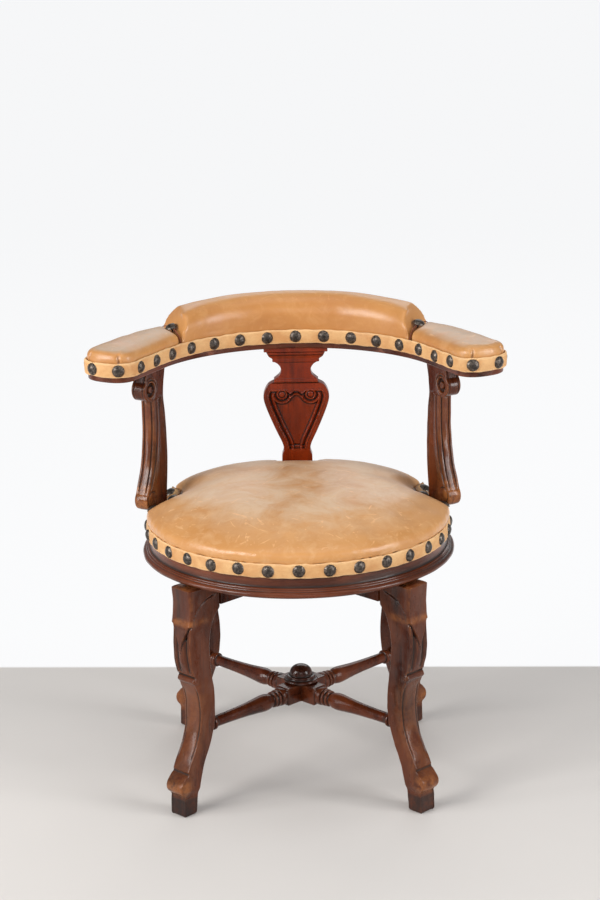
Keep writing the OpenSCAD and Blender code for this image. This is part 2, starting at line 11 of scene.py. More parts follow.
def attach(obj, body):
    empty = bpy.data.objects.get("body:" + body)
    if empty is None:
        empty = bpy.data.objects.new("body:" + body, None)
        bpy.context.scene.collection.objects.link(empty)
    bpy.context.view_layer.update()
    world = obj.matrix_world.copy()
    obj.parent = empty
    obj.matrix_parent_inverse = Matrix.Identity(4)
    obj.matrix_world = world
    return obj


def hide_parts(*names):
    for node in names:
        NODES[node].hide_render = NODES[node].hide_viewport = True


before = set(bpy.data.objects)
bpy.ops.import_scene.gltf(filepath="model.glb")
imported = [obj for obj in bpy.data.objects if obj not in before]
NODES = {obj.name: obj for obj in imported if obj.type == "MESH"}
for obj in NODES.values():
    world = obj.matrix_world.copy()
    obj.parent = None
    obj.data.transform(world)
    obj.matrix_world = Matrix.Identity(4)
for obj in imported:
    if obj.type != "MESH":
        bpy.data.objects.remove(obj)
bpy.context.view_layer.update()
MM = 0.001
BASE, SEAT = "base", "seat"

# Sizes in millimetres, as in the CAD part. Carving functions say how far a face stands out.
LEG_H = 383.0
BAR_Z = 138.0
RIM_Z, RIM_R, BAND_R = 384.0, 257.0, 244.5
FRAME_TOP, CROWN_Z = 443.0, 506.0
GIMP_Z, GIMP_H, GIMP_T, LEATHER_T = 418.0, 23.0, 3.0, 2.0
RAIL_Z, RAIL_TOP = 680.0, 706.0
ARM_GIMP_Z, ARM_TOP, BACK_TOP = 690.0, 734.0, 770.0
RAIL_RI, RAIL_W, TIP_W = 250.0, 55.0, 84.0
RAIL_CY, ARM_PHI, ARM_LEN, TIP_LEN = -58.0, 61.0, 84.0, 34.0
JOINT_PHI, SEAM_IN, SEAM_OUT = 35.0, 49.5, 44.8
SUPPORT_W = 20.0
SPLAT_Y, SPLAT_T = 203.0, 22.0
SEAT_NAILS, RAIL_NAILS = 32, 38
CORNER = np.radians([20, 45, 70])  # where points sit round a rounded corner
MIRROR = np.array([1, -1])
rng = np.random.default_rng(7)


# ---- small maths

def step(x, a, b):
    """0 at a, 1 at b, smooth in between."""
    t = np.clip((np.asarray(x, float) - a) / (b - a), 0, 1)
    return t * t * (3 - 2 * t)


def bump(x, width):
    """1 at 0, falling smoothly to 0 at +-width."""
    return np.clip(1 - (np.asarray(x, float) / width) ** 2, 0, 1) ** 2


def ridges(x, *rows_of):
    """Sum of rounded ridges, each (place, half width, height). A height below 0 is a groove."""
    return sum(height * bump(x - at, width) for at, width, height in rows_of)


def spline(points, per=8):
    """A smooth curve through points."""
    p = np.asarray(points, float)
    p = np.vstack([p[:1], p, p[-1:]])
    out = []
    for i in range(1, len(p) - 2):
        a, b, c, d = p[i - 1], p[i], p[i + 1], p[i + 2]
        for k in range(per):
            t = k / per
            out.append(0.5 * (2 * b + (c - a) * t + (2 * a - 5 * b + 4 * c - d) * t * t
                              + (3 * b - a - 3 * c + d) * t ** 3))
    out.append(p[-2])
    return np.array(out)


def arc(cx, cy, r, start, end, n):
    a = np.radians(np.linspace(start, end, n + 1))
    return np.stack([cx + r * np.cos(a), cy + r * np.sin(a)], 1)


def rows(*parts):
    return np.vstack([np.atleast_2d(np.asarray(p, float)) for p in parts])


def turn(points, degrees):
    """Points turned about the Z axis."""
    a = math.radians(degrees)
    m = np.array([[math.cos(a), -math.sin(a), 0], [math.sin(a), math.cos(a), 0], [0, 0, 1]])
    return np.asarray(points, float) @ m.T


def wave(points, scale, seed):
    """Smooth noise in about -1 to 1 at points in millimetres, from a few sine waves."""
    r = np.random.default_rng(seed)
    p = np.asarray(points, float) / scale
    total = np.zeros(p.shape[:-1])
    for k in range(7):
        d = r.normal(size=p.shape[-1])
        d *= r.uniform(0.6, 1.7) / np.linalg.norm(d)
        total += np.sin(p @ d * 2 * math.pi + r.uniform(0, 6.28))
    return total / 3.2


# ---- mesh making

def grid_faces(n_rings, n, closed=True, loop=False):
    """Quads of a tube of n_rings rings of n points; loop joins the last ring to the first."""
    i = np.arange(n_rings if loop else n_rings - 1)
    j = np.arange(n if closed else n - 1)
    i, j = [x.ravel() for x in np.meshgrid(i, j, indexing="ij")]
    i2, j2 = (i + 1) % n_rings, (j + 1) % n
    return np.stack([i * n + j, i * n + j2, i2 * n + j2, i2 * n + j], 1).tolist()


def circle(n):
    """Cosines and sines of n even steps round a circle."""
    a = np.linspace(0, 2 * math.pi, n, endpoint=False)
    return np.cos(a), np.sin(a)


def at_height(line, z):
    """Points of a plan outline, at one height or at a height each."""
    return np.column_stack([line, np.broadcast_to(z, len(line))])


def unit(vectors):
    return vectors / np.linalg.norm(vectors, axis=-1, keepdims=True)


def coordinates(mesh, field="co"):
    co = np.empty(len(mesh.vertices) * 3)
    mesh.vertices.foreach_get(field, co)
    return co.reshape(-1, 3)


def edge_ends(mesh):
    e = np.empty(len(mesh.edges) * 2, int)
    mesh.edges.foreach_get("vertices", e)
    return e.reshape(-1, 2).T


def add_masks(mesh, rub=None, passes=3):
    """Stores for each vertex how convex ("edge"), hollow ("dent") and worn ("rub") it is."""
    n = len(mesh.vertices)
    co, normal = coordinates(mesh), coordinates(mesh, "normal")
    a, b = edge_ends(mesh)
    count = np.maximum(np.bincount(a, minlength=n) + np.bincount(b, minlength=n), 1)

    def mean_of(values):
        return (np.bincount(a, values[b], n) + np.bincount(b, values[a], n)) / count

    d = co[b] - co[a]
    length = np.linalg.norm(d, axis=1) + 1e-9
    bend = (np.bincount(b, (d * normal[b]).sum(1) / length, n)
            - np.bincount(a, (d * normal[a]).sum(1) / length, n)) / count
    for _ in range(passes):
        bend = 0.5 * bend + 0.5 * mean_of(bend)
    rubbed = np.zeros(n) if rub is None else rub(co / MM)
    # The materials darken hollows by the dent mask: painted shade.
    for name, values in (("edge", bend * 4), ("dent", -bend * 5), ("rub", rubbed)):
        layer = mesh.attributes.new(name, "FLOAT", "POINT")
        layer.data.foreach_set("value", np.clip(values, 0, 1).astype(np.float32))


def linked(name, data):
    """A new object in the scene."""
    obj = bpy.data.objects.new(name, data)
    bpy.context.scene.collection.objects.link(obj)
    return obj


def new_mesh(name, verts, faces):
    mesh = bpy.data.meshes.new(name)
    mesh.from_pydata((np.asarray(verts, float) * MM).tolist(), [], faces)
    return mesh


def make(name, verts, faces, *args, **kw):
    """A finished piece from points in millimetres."""
    mesh = new_mesh(name, verts, faces)
    mesh.validate()
    return finish_piece(linked(name, mesh), *args, **kw)


def finish_piece(obj, material, body, node=(), slot=None, sharp=38, rub=None):
    """Smooth shading, masks for wear and for painted shade, material, and the calls that place it in
    the frame.
    """
    mesh = obj.data
    fix_normals(mesh)
    mesh.shade_smooth()
    if sharp:
        mesh.set_sharp_from_angle(angle=math.radians(sharp))
    mesh.materials.clear()
    mesh.materials.append(material)
    add_masks(mesh, rub)
    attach(obj, body)
    if node:
        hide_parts(*([node] if isinstance(node, str) else node))
    return obj


def fix_normals(mesh):
    bm = bmesh.new()
    bm.from_mesh(mesh)
    bmesh.ops.remove_doubles(bm, verts=bm.verts, dist=1e-6)
    bmesh.ops.recalc_face_normals(bm, faces=bm.faces)
    bm.to_mesh(mesh)
    bm.free()


def turned(profile, n):
    """Rings of a profile of (radius, height) turned about Z."""
    p = np.asarray(profile, float)
    c, d = circle(n)
    return np.stack([np.outer(p[:, 0], c), np.outer(p[:, 0], d), np.repeat(p[:, 1:2], n, 1)], -1)


def board_ring(inner, outer, half, radius, side, face, n_back, lift=None):
    """Section of a board with rounded corners: two carved sides, a carved outer face, a plain back.

    side and face say how far the carving stands out, from inner to outer and from +half to -half.
    lift says it for the outer corners, where the face doesn't."""
    lift, flat = face[0] if lift is None else lift, half - radius
    upper = np.stack([np.linspace(inner + radius, outer - radius, len(side)), half + side], 1)
    corner = np.stack([outer - radius + (radius + lift) * np.sin(CORNER),
                       flat + (radius + side[-1]) * np.cos(CORNER)], 1)
    front = np.stack([outer + face, np.linspace(flat, -flat, len(face))], 1)
    lower = np.stack([inner + radius - radius * np.sin(CORNER), -flat - radius * np.cos(CORNER)], 1)
    back = np.stack([np.full(n_back, inner), np.linspace(-flat, flat, n_back)], 1)
    return np.vstack([upper, corner, front, corner[::-1] * MIRROR, upper[::-1] * MIRROR,
                      lower, back, lower[::-1] * MIRROR])


class Parts:
    """Collects several closed shapes into one piece."""

    def __init__(self):
        self.verts, self.faces, self.n = [], [], 0

    def add(self, verts, faces):
        verts = np.asarray(verts, float).reshape(-1, 3)
        self.verts.append(verts)
        self.faces += [[i + self.n for i in f] for f in faces]
        self.n += len(verts)

    def tube(self, rings, caps=True):
        rings = np.asarray(rings, float)
        count, n = rings.shape[:2]
        faces = grid_faces(count, n)
        if caps:
            faces += [list(range(n))[::-1], [(count - 1) * n + k for k in range(n)]]
        self.add(rings, faces)

    def lathe(self, profile, n=96, closed=False):
        """Profile of (radius, height) turned about Z. Closed joins its end to its start."""
        rings = turned(profile, n)
        self.add(rings, grid_faces(len(rings), n, True, closed))
        return rings

    def make(self, name, *args, **kw):
        return make(name, np.vstack(self.verts), self.faces, *args, **kw)


# ---- materials

class Look:
    """A material with a Principled shader, and short calls for the nodes that drive it."""

    def __init__(self, name, **constants):
        self.material = bpy.data.materials.new(name)
        self.material.use_nodes = True
        self.tree = self.material.node_tree
        self.tree.nodes.clear()
        self.shader = self.tree.nodes.new("ShaderNodeBsdfPrincipled")
        out = self.tree.nodes.new("ShaderNodeOutputMaterial")
        self.tree.links.new(self.shader.outputs[0], out.inputs[0])
        for key, value in constants.items():
            self.shader.inputs[key.replace("_", " ")].default_value = value
        self.object = self.tree.nodes.new("ShaderNodeTexCoord").outputs["Object"]

    def feed(self, socket, value):
        if isinstance(value, bpy.types.NodeSocket):
            self.tree.links.new(value, socket)
        elif isinstance(value, tuple) and len(value) == 3 and socket.type == "RGBA":
            socket.default_value = (*value, 1)
        else:
            socket.default_value = value

    def node(self, kind, inputs=(), **settings):
        n = self.tree.nodes.new("ShaderNode" + kind)
        for key, value in settings.items():
            setattr(n, key, value)
        for key, value in dict(inputs).items():
            self.feed(n.inputs[key], value)
        return n

    def mapped(self, scale, rotation=(0, 0, 0), vector=None):
        return self.node("Mapping", {"Vector": vector or self.object, "Scale": scale,
                                     "Rotation": rotation}).outputs[0]

    def grained(self, base, stretch):
        """Coordinates squeezed along Z, so that what is drawn on them runs long."""
        return self.mapped((1, 1, stretch), (0, 0, 0), base)

    def bent(self, amount, offset):
        """Object coordinates pushed about by a noise."""
        return self.node("VectorMath", {0: self.object, 1: self.mix(amount, (0, 0, 0), offset)},
                         operation="ADD").outputs[0]

    def noise(self, vector, scale, detail=4, rough=0.55, distortion=0.0):
        return self.node("TexNoise", {"Vector": vector, "Scale": scale, "Detail": detail,
                                      "Roughness": rough, "Distortion": distortion}).outputs[0]

    def cells(self, vector, scale, feature="DISTANCE_TO_EDGE"):
        return self.node("TexVoronoi", {"Vector": vector, "Scale": scale},
                         feature=feature).outputs["Distance"]

    def math(self, operation, a, b=0.0, clamp=False):
        return self.node("Math", {0: a, 1: b}, operation=operation, use_clamp=clamp).outputs[0]

    def times(self, a, b):
        return self.math("MULTIPLY", a, b)

    def plus(self, a, b):
        return self.math("ADD", a, b)

    def most(self, a, b):
        return self.math("MAXIMUM", a, b)

    def span(self, value, a, b, low=0.0, high=1.0):
        return self.node("MapRange", {"Value": value, "From Min": a, "From Max": b,
                                      "To Min": low, "To Max": high}).outputs[0]

    def mix(self, factor, a, b, blend="MIX"):
        n = self.node("Mix", {}, data_type="RGBA", blend_type=blend)
        self.feed(n.inputs[0], factor)
        self.feed(n.inputs[6], a)
        self.feed(n.inputs[7], b)
        return n.outputs[2]

    def mask(self, name):
        return self.node("Attribute", {}, attribute_name=name).outputs["Fac"]

    def relief(self, height, strength, distance, under=None):
        inputs = {"Height": height, "Strength": strength, "Distance": distance}
        if under:
            inputs["Normal"] = under
        return self.node("Bump", inputs).outputs[0]

    def done(self, colour, roughness, normal=None):
        self.feed(self.shader.inputs["Base Color"], colour)
        self.feed(self.shader.inputs["Roughness"], roughness)
        if normal:
            self.feed(self.shader.inputs["Normal"], normal)
        return self.material


def round_coordinates(look, centre_y=0.0, radius=0.25):
    """(arc length, height, distance) round a vertical axis, so that grain follows a ring."""
    part = look.node("SeparateXYZ", {0: look.object})
    y = look.math("SUBTRACT", part.outputs[1], centre_y)
    angle = look.math("ARCTAN2", part.outputs[0], look.times(y, -1.0))
    squares = look.plus(look.times(part.outputs[0], part.outputs[0]),
                        look.times(y, y))
    return look.node("CombineXYZ", {0: look.math("SQRT", squares), 1: part.outputs[2],
                                    2: look.times(angle, radius)}).outputs[0]


def worn_wood(look, base, colour, wear, wear_at, worn):
    """The colour rubbed through to bare wood on edges, and where the rub mask says so."""
    spots = look.span(look.noise(base, 75, 5, 0.7), 0.42, 0.62)
    rubbed = look.times(look.span(look.mask("edge"), wear_at * 0.5, wear_at + 0.35), spots)
    blotches = look.span(look.noise(base, 52, 6, 0.72, 0.4), 0.34, 0.60)
    rubbed = look.most(look.times(rubbed, worn), look.times(look.mask("rub"), blotches))
    return look.mix(look.times(rubbed, 0.85), colour, wear)


def dark_foot(look, base, top):
    """A mask for the blackened end grain below a height, with a ragged upper edge."""
    height = look.node("SeparateXYZ", {0: look.object}).outputs[2]
    ragged = look.plus(height, look.times(look.noise(base, 120, 4), 0.006))
    low = look.times(look.span(ragged, top, top - 0.004),
                     look.span(look.noise(base, 60, 5, 0.7), 0.30, 0.55))
    return look.times(low, 0.72)


def wood_look(name, dark, mid, light, rotation=(0, 0, 0), ring=None, wear=(0.40, 0.15, 0.05),
              gloss=0.24, wear_at=0.25, worn=0.55, grey=0.0, foot=None):
    """Polished wood whose grain runs along Z after the rotation, with worn edges and painted shade in
    its hollows.

    ring (centre y, radius) bends the grain round the chair's axis; grey dulls the polish in
    patches; foot is the height of the blackened foot."""
    look = Look(name, Coat_Weight=0.18, Coat_Roughness=0.10, Specular_IOR_Level=0.24)
    base = round_coordinates(look, *ring) if ring else look.mapped((1, 1, 1), rotation)
    figure = look.noise(look.grained(base, 0.055), 42, 6, 0.62, 0.6)
    patches = look.noise(look.grained(base, 0.45), 17, 4, 0.6)
    pores = look.span(look.noise(look.grained(base, 0.03), 420, 3, 0.6), 0.60, 0.70)
    colour = look.mix(look.span(figure, 0.36, 0.62), dark, mid)
    colour = look.mix(look.times(look.span(patches, 0.42, 0.68), 0.8), colour, light)
    colour = look.mix(look.times(pores, 0.55), colour, tuple(c * 0.35 for c in dark))
    colour = worn_wood(look, base, colour, wear, wear_at, worn)
    # Hollows and grooves darkened by the dent mask: painted shade, with some grime; the blackened foot
    # joins it below.
    shade_and_grime = look.times(look.span(look.mask("dent"), 0.06, 0.42), 0.9)
    if foot:
        shade_and_grime = look.most(shade_and_grime, dark_foot(look, base, foot))
    colour = look.mix(shade_and_grime, colour, (0.010, 0.007, 0.006))
    if grey:
        dull = look.span(look.noise(look.grained(base, 0.2), 24, 5, 0.7), 0.5, 0.7)
        colour = look.mix(look.times(dull, grey), colour, (0.24, 0.17, 0.14))
    rough = look.plus(look.span(patches, 0.3, 0.7, gloss - 0.05, gloss + 0.10),
                      look.times(shade_and_grime, 0.3))
    cracks = look.span(look.noise(look.grained(base, 0.02), 160, 2, 0.5, 0.3), 0.66, 0.72)
    height = look.plus(look.times(figure, 0.5), look.times(cracks, -0.9))
    height = look.plus(height, look.times(pores, -0.35))
    dings = look.relief(look.noise(base, 130, 3, 0.5), 0.12, 0.002)
    return look.done(colour, rough, look.relief(height, 0.32, 0.0006, dings))


def scratches(look):
    """A mask of fine curved scratches that run in four directions."""
    mask = None
    for turn_by, scale, at in ((0.45, 190, 0.655), (-0.75, 240, 0.665), (1.25, 160, 0.66),
                               (2.2, 210, 0.66)):
        drift = look.node("TexNoise", {"Vector": look.object, "Scale": 11 + scale / 40,
                                       "Detail": 1}).outputs[1]
        streak = look.mapped((1, 0.035, 1), (0, 0, 0),
                             look.mapped((1, 1, 1), (0, 0, turn_by), look.bent(0.035, drift)))
        gate = look.span(look.noise(look.object, 13 + scale / 12, 3, 0.6), 0.46, 0.60)
        tone = look.times(look.span(look.noise(streak, scale, 2, 0.5), at, at + 0.04), gate)
        mask = look.most(mask, tone) if mask else tone
    return mask


def leather_look(name, base, pale, deep, worn_top, top_z, creases=0.5, grain=700.0):
    """Tan leather: pebble grain, cloudy colour, pale scuffs and fine scratches on top, and painted
    shade in its hollows.
    """
    look = Look(name, Coat_Weight=0.16, Coat_Roughness=0.26, Sheen_Weight=0.03)
    pos = look.object
    clouds = look.noise(pos, 9, 5, 0.6, 0.4)
    blots = look.noise(pos, 38, 5, 0.65, 0.8)
    colour = look.mix(look.span(clouds, 0.35, 0.66), deep, base)
    colour = look.mix(look.times(look.span(blots, 0.5, 0.72), 0.5), colour, pale)
    height = look.node("SeparateXYZ", {0: pos}).outputs[2]
    facing = look.node("SeparateXYZ", {0: look.node("NewGeometry").outputs["Normal"]}).outputs[2]
    sat = look.times(look.span(facing, 0.72, 0.99), look.span(height, top_z - 0.035, top_z - 0.004))
    sat = look.times(sat, look.span(look.noise(pos, 14, 6, 0.7, 0.6), 0.34, 0.60))
    colour = look.mix(look.times(sat, 0.9), colour, worn_top)
    scratch = look.times(scratches(look), look.span(facing, 0.55, 0.95))
    colour = look.mix(look.times(scratch, 0.6), colour, tuple(min(1, c * 1.2) for c in pale))
    # Hollows and creases darkened by the dent mask: painted shade, with some soiling.
    shade_and_soil = look.times(look.span(look.mask("dent"), 0.10, 0.6), 0.6)
    colour = look.mix(shade_and_soil, colour, tuple(c * 0.35 for c in deep))
    fine = look.times(look.noise(pos, grain * 1.8, 3, 0.6), 0.4)
    pebble = look.plus(look.cells(pos, grain, "SMOOTH_F1"), fine)
    folds = look.noise(look.mapped((1, 1, 0.45)), 55, 4, 0.6, 1.0)
    normal = look.relief(pebble, 0.16, 0.0004, look.relief(folds, 0.10 * creases, 0.003))
    rough = look.plus(look.span(blots, 0.3, 0.7, 0.30, 0.40), look.times(sat, 0.18))
    return look.done(colour, rough, normal)


def gimp_look(name):
    """The matt straw-coloured trim strip, darkened with painted shade in its hollows where the nails
    pinch it, and paler along its worn ridges and edges.
    """
    look = Look(name)
    pos = look.object
    clouds = look.noise(pos, 26, 5, 0.65, 0.5)
    colour = look.mix(look.span(clouds, 0.34, 0.66), (0.56, 0.27, 0.095), (0.70, 0.42, 0.185))
    fibres = look.noise(look.mapped((1, 1, 3.5)), 240, 3, 0.6)
    colour = look.mix(look.times(look.span(fibres, 0.52, 0.72), 0.35), colour,
                      (0.42, 0.19, 0.07))
    # Hollows where the nails pinch the strip are darkened: painted shade.
    colour = look.mix(look.times(look.span(look.mask("dent"), 0.1, 0.55), 0.7), colour,
                      (0.20, 0.085, 0.03))
    colour = look.mix(look.times(look.span(look.mask("edge"), 0.2, 0.7), 0.5), colour,
                      (0.88, 0.62, 0.34))
    normal = look.relief(look.noise(pos, 90, 4, 0.6), 0.22, 0.0015)
    normal = look.relief(fibres, 0.15, 0.0004, normal)
    return look.done(colour, look.span(clouds, 0.3, 0.7, 0.58, 0.70), normal)


def metal_look(name, base, other, metallic, rough, scale=120.0, pits=0.2, wear=None):
    """Metal with a cloudy finish, fine pits, and brighter rubbed edges."""
    look = Look(name)
    look.shader.inputs["Metallic"].default_value = metallic
    pos = look.object
    clouds = look.noise(pos, scale, 5, 0.65, 0.3)
    colour = look.mix(look.span(clouds, 0.36, 0.64), base, other)
    if wear:
        rubbed = look.times(look.span(look.mask("edge"), 0.08, 0.5),
                           look.span(look.noise(pos, scale * 2.1, 4, 0.6), 0.42, 0.6))
        colour = look.mix(look.times(rubbed, 0.8), colour, wear)
    fine = look.noise(pos, scale * 9, 3, 0.6)
    normal = look.relief(look.plus(fine, look.times(clouds, 2.0)), pits, 0.0005)
    return look.done(colour, look.span(clouds, 0.35, 0.65, rough - 0.08, rough + 0.12), normal)


def cloth_look(name, dark, light, scale=330.0):
    """Coarse jute: two crossed sets of threads."""
    look = Look(name)
    threads = []
    for axis in (0, 1):
        wavy = look.bent(0.004, look.noise(look.object, 40, 3))
        threads.append(look.node("TexWave", {"Vector": wavy, "Scale": scale / 6.283,
                                             "Distortion": 0.4, "Detail": 2.0},
                                 bands_direction="XY"[axis]).outputs["Fac"])
    weave = look.most(threads[0], threads[1])
    patches = look.noise(look.object, 30, 4, 0.6)
    colour = look.mix(look.times(weave, look.span(patches, 0.3, 0.7, 0.6, 1.0)),
                      dark, light)
    return look.done(colour, 0.92, look.relief(weave, 0.7, 0.0012))


DARK, MID, LIGHT = (0.020, 0.004, 0.002), (0.076, 0.0135, 0.0035), (0.145, 0.032, 0.008)
WOOD = wood_look("polished_wood", DARK, MID, LIGHT, gloss=0.19, wear=(0.46, 0.17, 0.05))
WOOD_LEG = wood_look("leg_wood", DARK, (0.072, 0.0135, 0.0038), (0.138, 0.034, 0.009),
                     wear=(0.32, 0.11, 0.03), foot=0.034, grey=0.10)
WOOD_RED = wood_look("splat_wood", (0.034, 0.005, 0.0020), (0.19, 0.018, 0.0020),
                     (0.30, 0.034, 0.004), wear=(0.30, 0.11, 0.05), worn=0.3)
WOOD_X, WOOD_Y = (wood_look(name, DARK, MID, LIGHT, (math.pi / 2, 0, math.radians(angle)),
                            wear=(0.22, 0.10, 0.05), worn=0.25)
                  for name, angle in (("bar_wood_a", 45), ("bar_wood_b", -45)))
WOOD_RING = wood_look("rim_wood", DARK, (0.135, 0.030, 0.010), (0.21, 0.056, 0.020),
                      ring=(0.0, 0.25), wear=(0.30, 0.15, 0.08), worn=0.4, grey=0.12)
WOOD_RAIL = wood_look("rail_wood", DARK, (0.11, 0.025, 0.010), LIGHT, ring=(-0.058, 0.28),
                      wear=(0.36, 0.12, 0.06))
WOOD_DARK = wood_look("finial_wood", (0.014, 0.005, 0.003), (0.050, 0.013, 0.007),
                      (0.095, 0.026, 0.013), gloss=0.17, wear=(0.2, 0.08, 0.05), worn=0.2)
BEECH = wood_look("beech_wood", (0.26, 0.14, 0.065), (0.40, 0.24, 0.12), (0.50, 0.32, 0.17),
                  gloss=0.6, wear=(0.6, 0.42, 0.25))
LEATHER = leather_look("seat_leather_look", (0.60, 0.29, 0.095), (0.70, 0.42, 0.21),
                       (0.52, 0.235, 0.070), (0.68, 0.48, 0.31), 0.500)
PAD_LEATHER = leather_look("pad_leather_look", (0.55, 0.25, 0.072), (0.62, 0.32, 0.12),
                           (0.46, 0.19, 0.050), (0.60, 0.30, 0.11), 0.772, creases=0.8)
ARM_LEATHER = leather_look("arm_leather_look", (0.56, 0.27, 0.085), (0.63, 0.36, 0.17),
                           (0.47, 0.20, 0.058), (0.49, 0.35, 0.235), 0.736, creases=0.7)
GIMP = gimp_look("trim_leather_look")
CORD = metal_look("seam_thread", (0.16, 0.035, 0.018), (0.24, 0.06, 0.03), 0.0, 0.6, 300)
NAIL = metal_look("bronzed_nail", (0.026, 0.022, 0.020), (0.060, 0.050, 0.044), 0.75, 0.34, 160,
                  0.28, (0.26, 0.21, 0.17))
IRON = metal_look("oiled_iron", (0.030, 0.027, 0.025), (0.07, 0.055, 0.045), 0.7, 0.48, 70, 0.3)
STEEL = metal_look("dull_steel", (0.34, 0.34, 0.35), (0.22, 0.21, 0.21), 0.9, 0.38, 90)
BRASS = metal_look("worn_brass", (0.50, 0.34, 0.12), (0.32, 0.20, 0.07), 0.9, 0.36, 110)
JUTE = cloth_look("jute_look", (0.20, 0.13, 0.06), (0.52, 0.40, 0.24))


# ---- legs

LEG_OUTER = rows([289, 0], [287, 36], arc(279, 51, 15, -60, 50, 12),
                 spline([(280, 72), (268, 97), (257, 119), (249.5, 142), (246.5, 170),
                         (248.5, 195), (254, 215), (261, 236), (267, 260), (269, 285),
                         (267, 315), (263, 340), (262.5, LEG_H)]))
LEG_INNER = spline([(258, 0), (253, 40), (244, 75), (230, 108), (220, 135), (216, 160),
                    (216, 195), (221, 232), (225, 270), (222, 300), (213, 326), (203, 338),
                    (200, 346), (200, LEG_H)])
CUFF_Z, TOE_GROOVE_Z, TOE_Z, CAP_TIP_Z, CAP_EDGE_Z = 233.0, 73.0, 51.0, 272.0, 323.0
LEG_HALF, FOOT_HALF = 20.0, 15.5


def leg_half(z):
    """Half thickness of the leg's board at a height."""
    taper = LEG_HALF - 1.2 * step(z, 200, 90)
    return taper + (FOOT_HALF - taper) * step(z, 46, 33)


def cap_edge(b):
    """Height of the carved cap's lower edge across the outer face, pointed in the middle."""
    w = np.clip(np.abs(b) / LEG_HALF, 0, 1)
    return CAP_TIP_Z + (CAP_EDGE_Z - CAP_TIP_Z) * w ** 0.62 + 3 * np.sin(w * 9) * w


def leg_outward(z, b):
    """How far the carving stands out of the leg's outer face, across b."""
    side, edge = np.abs(b), cap_edge(b)
    cap = step(z, edge - 1.6, edge + 1.6)
    below_cap = step(z, CUFF_Z + 3, CUFF_Z + 14) * (1 - cap)
    out = 3.4 * cap * step(z, 266, 296) + ridges(z, (edge - 2.4, 2.6, -1.2))
    out += 1.9 * np.exp(-(b / 5.5) ** 2) * step(z, 244, 262) * (1 - cap)  # leaf
    out += ridges(side, (10.5, 5.0, -4.4)) * below_cap * step(z, 325, 305)  # flutes
    out += ridges(side, (16.6, 1.7, -1.3)) * step(z, CUFF_Z + 3, CUFF_Z + 8) * (1 - cap)
    out += ridges(z, (CUFF_Z + 1.5, 4.2, -3.0), (CUFF_Z - 7, 5.5, 2.4), (TOE_GROOVE_Z, 4.5, -3.0))
    out += ridges(z, (CUFF_Z - 7, 22, 1.6)) * (z < CUFF_Z)
    shin = step(z, 85, 100) * step(z, CUFF_Z - 12, CUFF_Z - 30)
    out += shin * (1.5 - 1.5 * (b / 17) ** 2 + ridges(side, (15.5, 2.2, -1.3)))
    out += bump(z - TOE_Z, 22) * (0.8 - 1.2 * (b / LEG_HALF) ** 2)
    return out - 3.6 * step(z, 37, 34) + 2.0 * step(z, 350, LEG_H)


def leg_sideways(z, a):
    """How far the carving stands out of the leg's side faces; a runs from inner 0 to outer 1."""
    curve = CAP_EDGE_Z + 45 * np.sqrt(np.clip(1 - a ** 2.2, 0, 1))
    out = 3.4 * step(z, curve - 1.0, curve + 1.4)
    out += ridges(z, (curve - 2.5, 2.6, -1.8)) * step(a, 0.1, 0.3)
    out += ridges(a, (0.5, 0.55, -0.8)) * step(z, CAP_EDGE_Z, CAP_EDGE_Z - 14) * step(z, 90, 120)
    out += ridges(z, (CUFF_Z - 7, 6, 1.0)) * step(a, 0.80, 0.98)
    out += ridges(z, (CUFF_Z + 1.5, 3.5, -1.2)) * step(a, 0.88, 1.0)
    return out + ridges(z, (TOE_GROOVE_Z, 4, -0.8)) * step(a, 0.8, 1.0)


def leg_levels():
    """Heights of the leg's rings, closer together where it is carved."""
    coarse = np.arange(0, LEG_H, 2.0)
    fine = np.concatenate([np.arange(28, 42, 0.7), np.arange(64, 80, 0.9), np.arange(220, 246, 0.9),
                           np.arange(262, 376, 1.1), [0.0, 0.8, 1.8, 3.2, LEG_H - 0.8, LEG_H]])
    return np.unique(np.round(np.concatenate([coarse, fine]), 2))


def across_leg(line, z):
    """Distance of the leg's outer or inner outline from the axis of the chair, at a height."""
    return np.interp(z, line[:, 1], line[:, 0])


def leg_rings(seed, n_side=22, n_face=34, n_back=12, radius=2.2):
    rings = []
    for z in leg_levels():
        ease = min(1.0, z / 3.2, (LEG_H - z) / 1.2 + 0.3)
        inset = 2.0 * (1 - ease) ** 1.5
        half = leg_half(z) - inset
        side = leg_sideways(z, np.linspace(0, 1, n_side))
        face = leg_outward(z, np.linspace(1, -1, n_face) * (half - radius))
        line = board_ring(across_leg(LEG_INNER, z) + inset, across_leg(LEG_OUTER, z) - inset, half,
                          radius, side, face, n_back)
        rings.append(at_height(line, z))
    rings = np.array(rings)
    out = (rings - rings.mean(1, keepdims=True)) * [1, 1, 0]
    out = out / (np.linalg.norm(out, axis=-1, keepdims=True) + 1e-6)
    return rings + out * wave(rings, 34, seed)[..., None] * 0.35


def leg_rub(co):
    """Bare worn patches: the toes, the cuffs and the outer arrises low down."""
    r, z = np.hypot(co[:, 0], co[:, 1]), co[:, 2]
    toe = bump(z - 50, 26) * step(r, 262, 284)
    cap = 0.75 * bump(z - CAP_EDGE_Z - 4, 9) * step(r, 215, 235)
    shin = 0.28 * step(z, 240, 190) * step(z, 30, 70) * step(r - across_leg(LEG_INNER, z), 8, 30)
    return np.maximum(np.maximum(toe * 0.9, shin), cap)


def build_legs():
    for node, angle, seed in (("front_left_leg", -45, 1), ("front_right_leg", -135, 2),
                              ("rear_left_leg", 45, 3), ("rear_right_leg", 135, 4)):
        parts = Parts()
        parts.tube(turn(leg_rings(seed), angle))
        parts.make("carved_" + node, WOOD_LEG, BASE, node, "polished_wood", rub=leg_rub)


# ---- stretcher

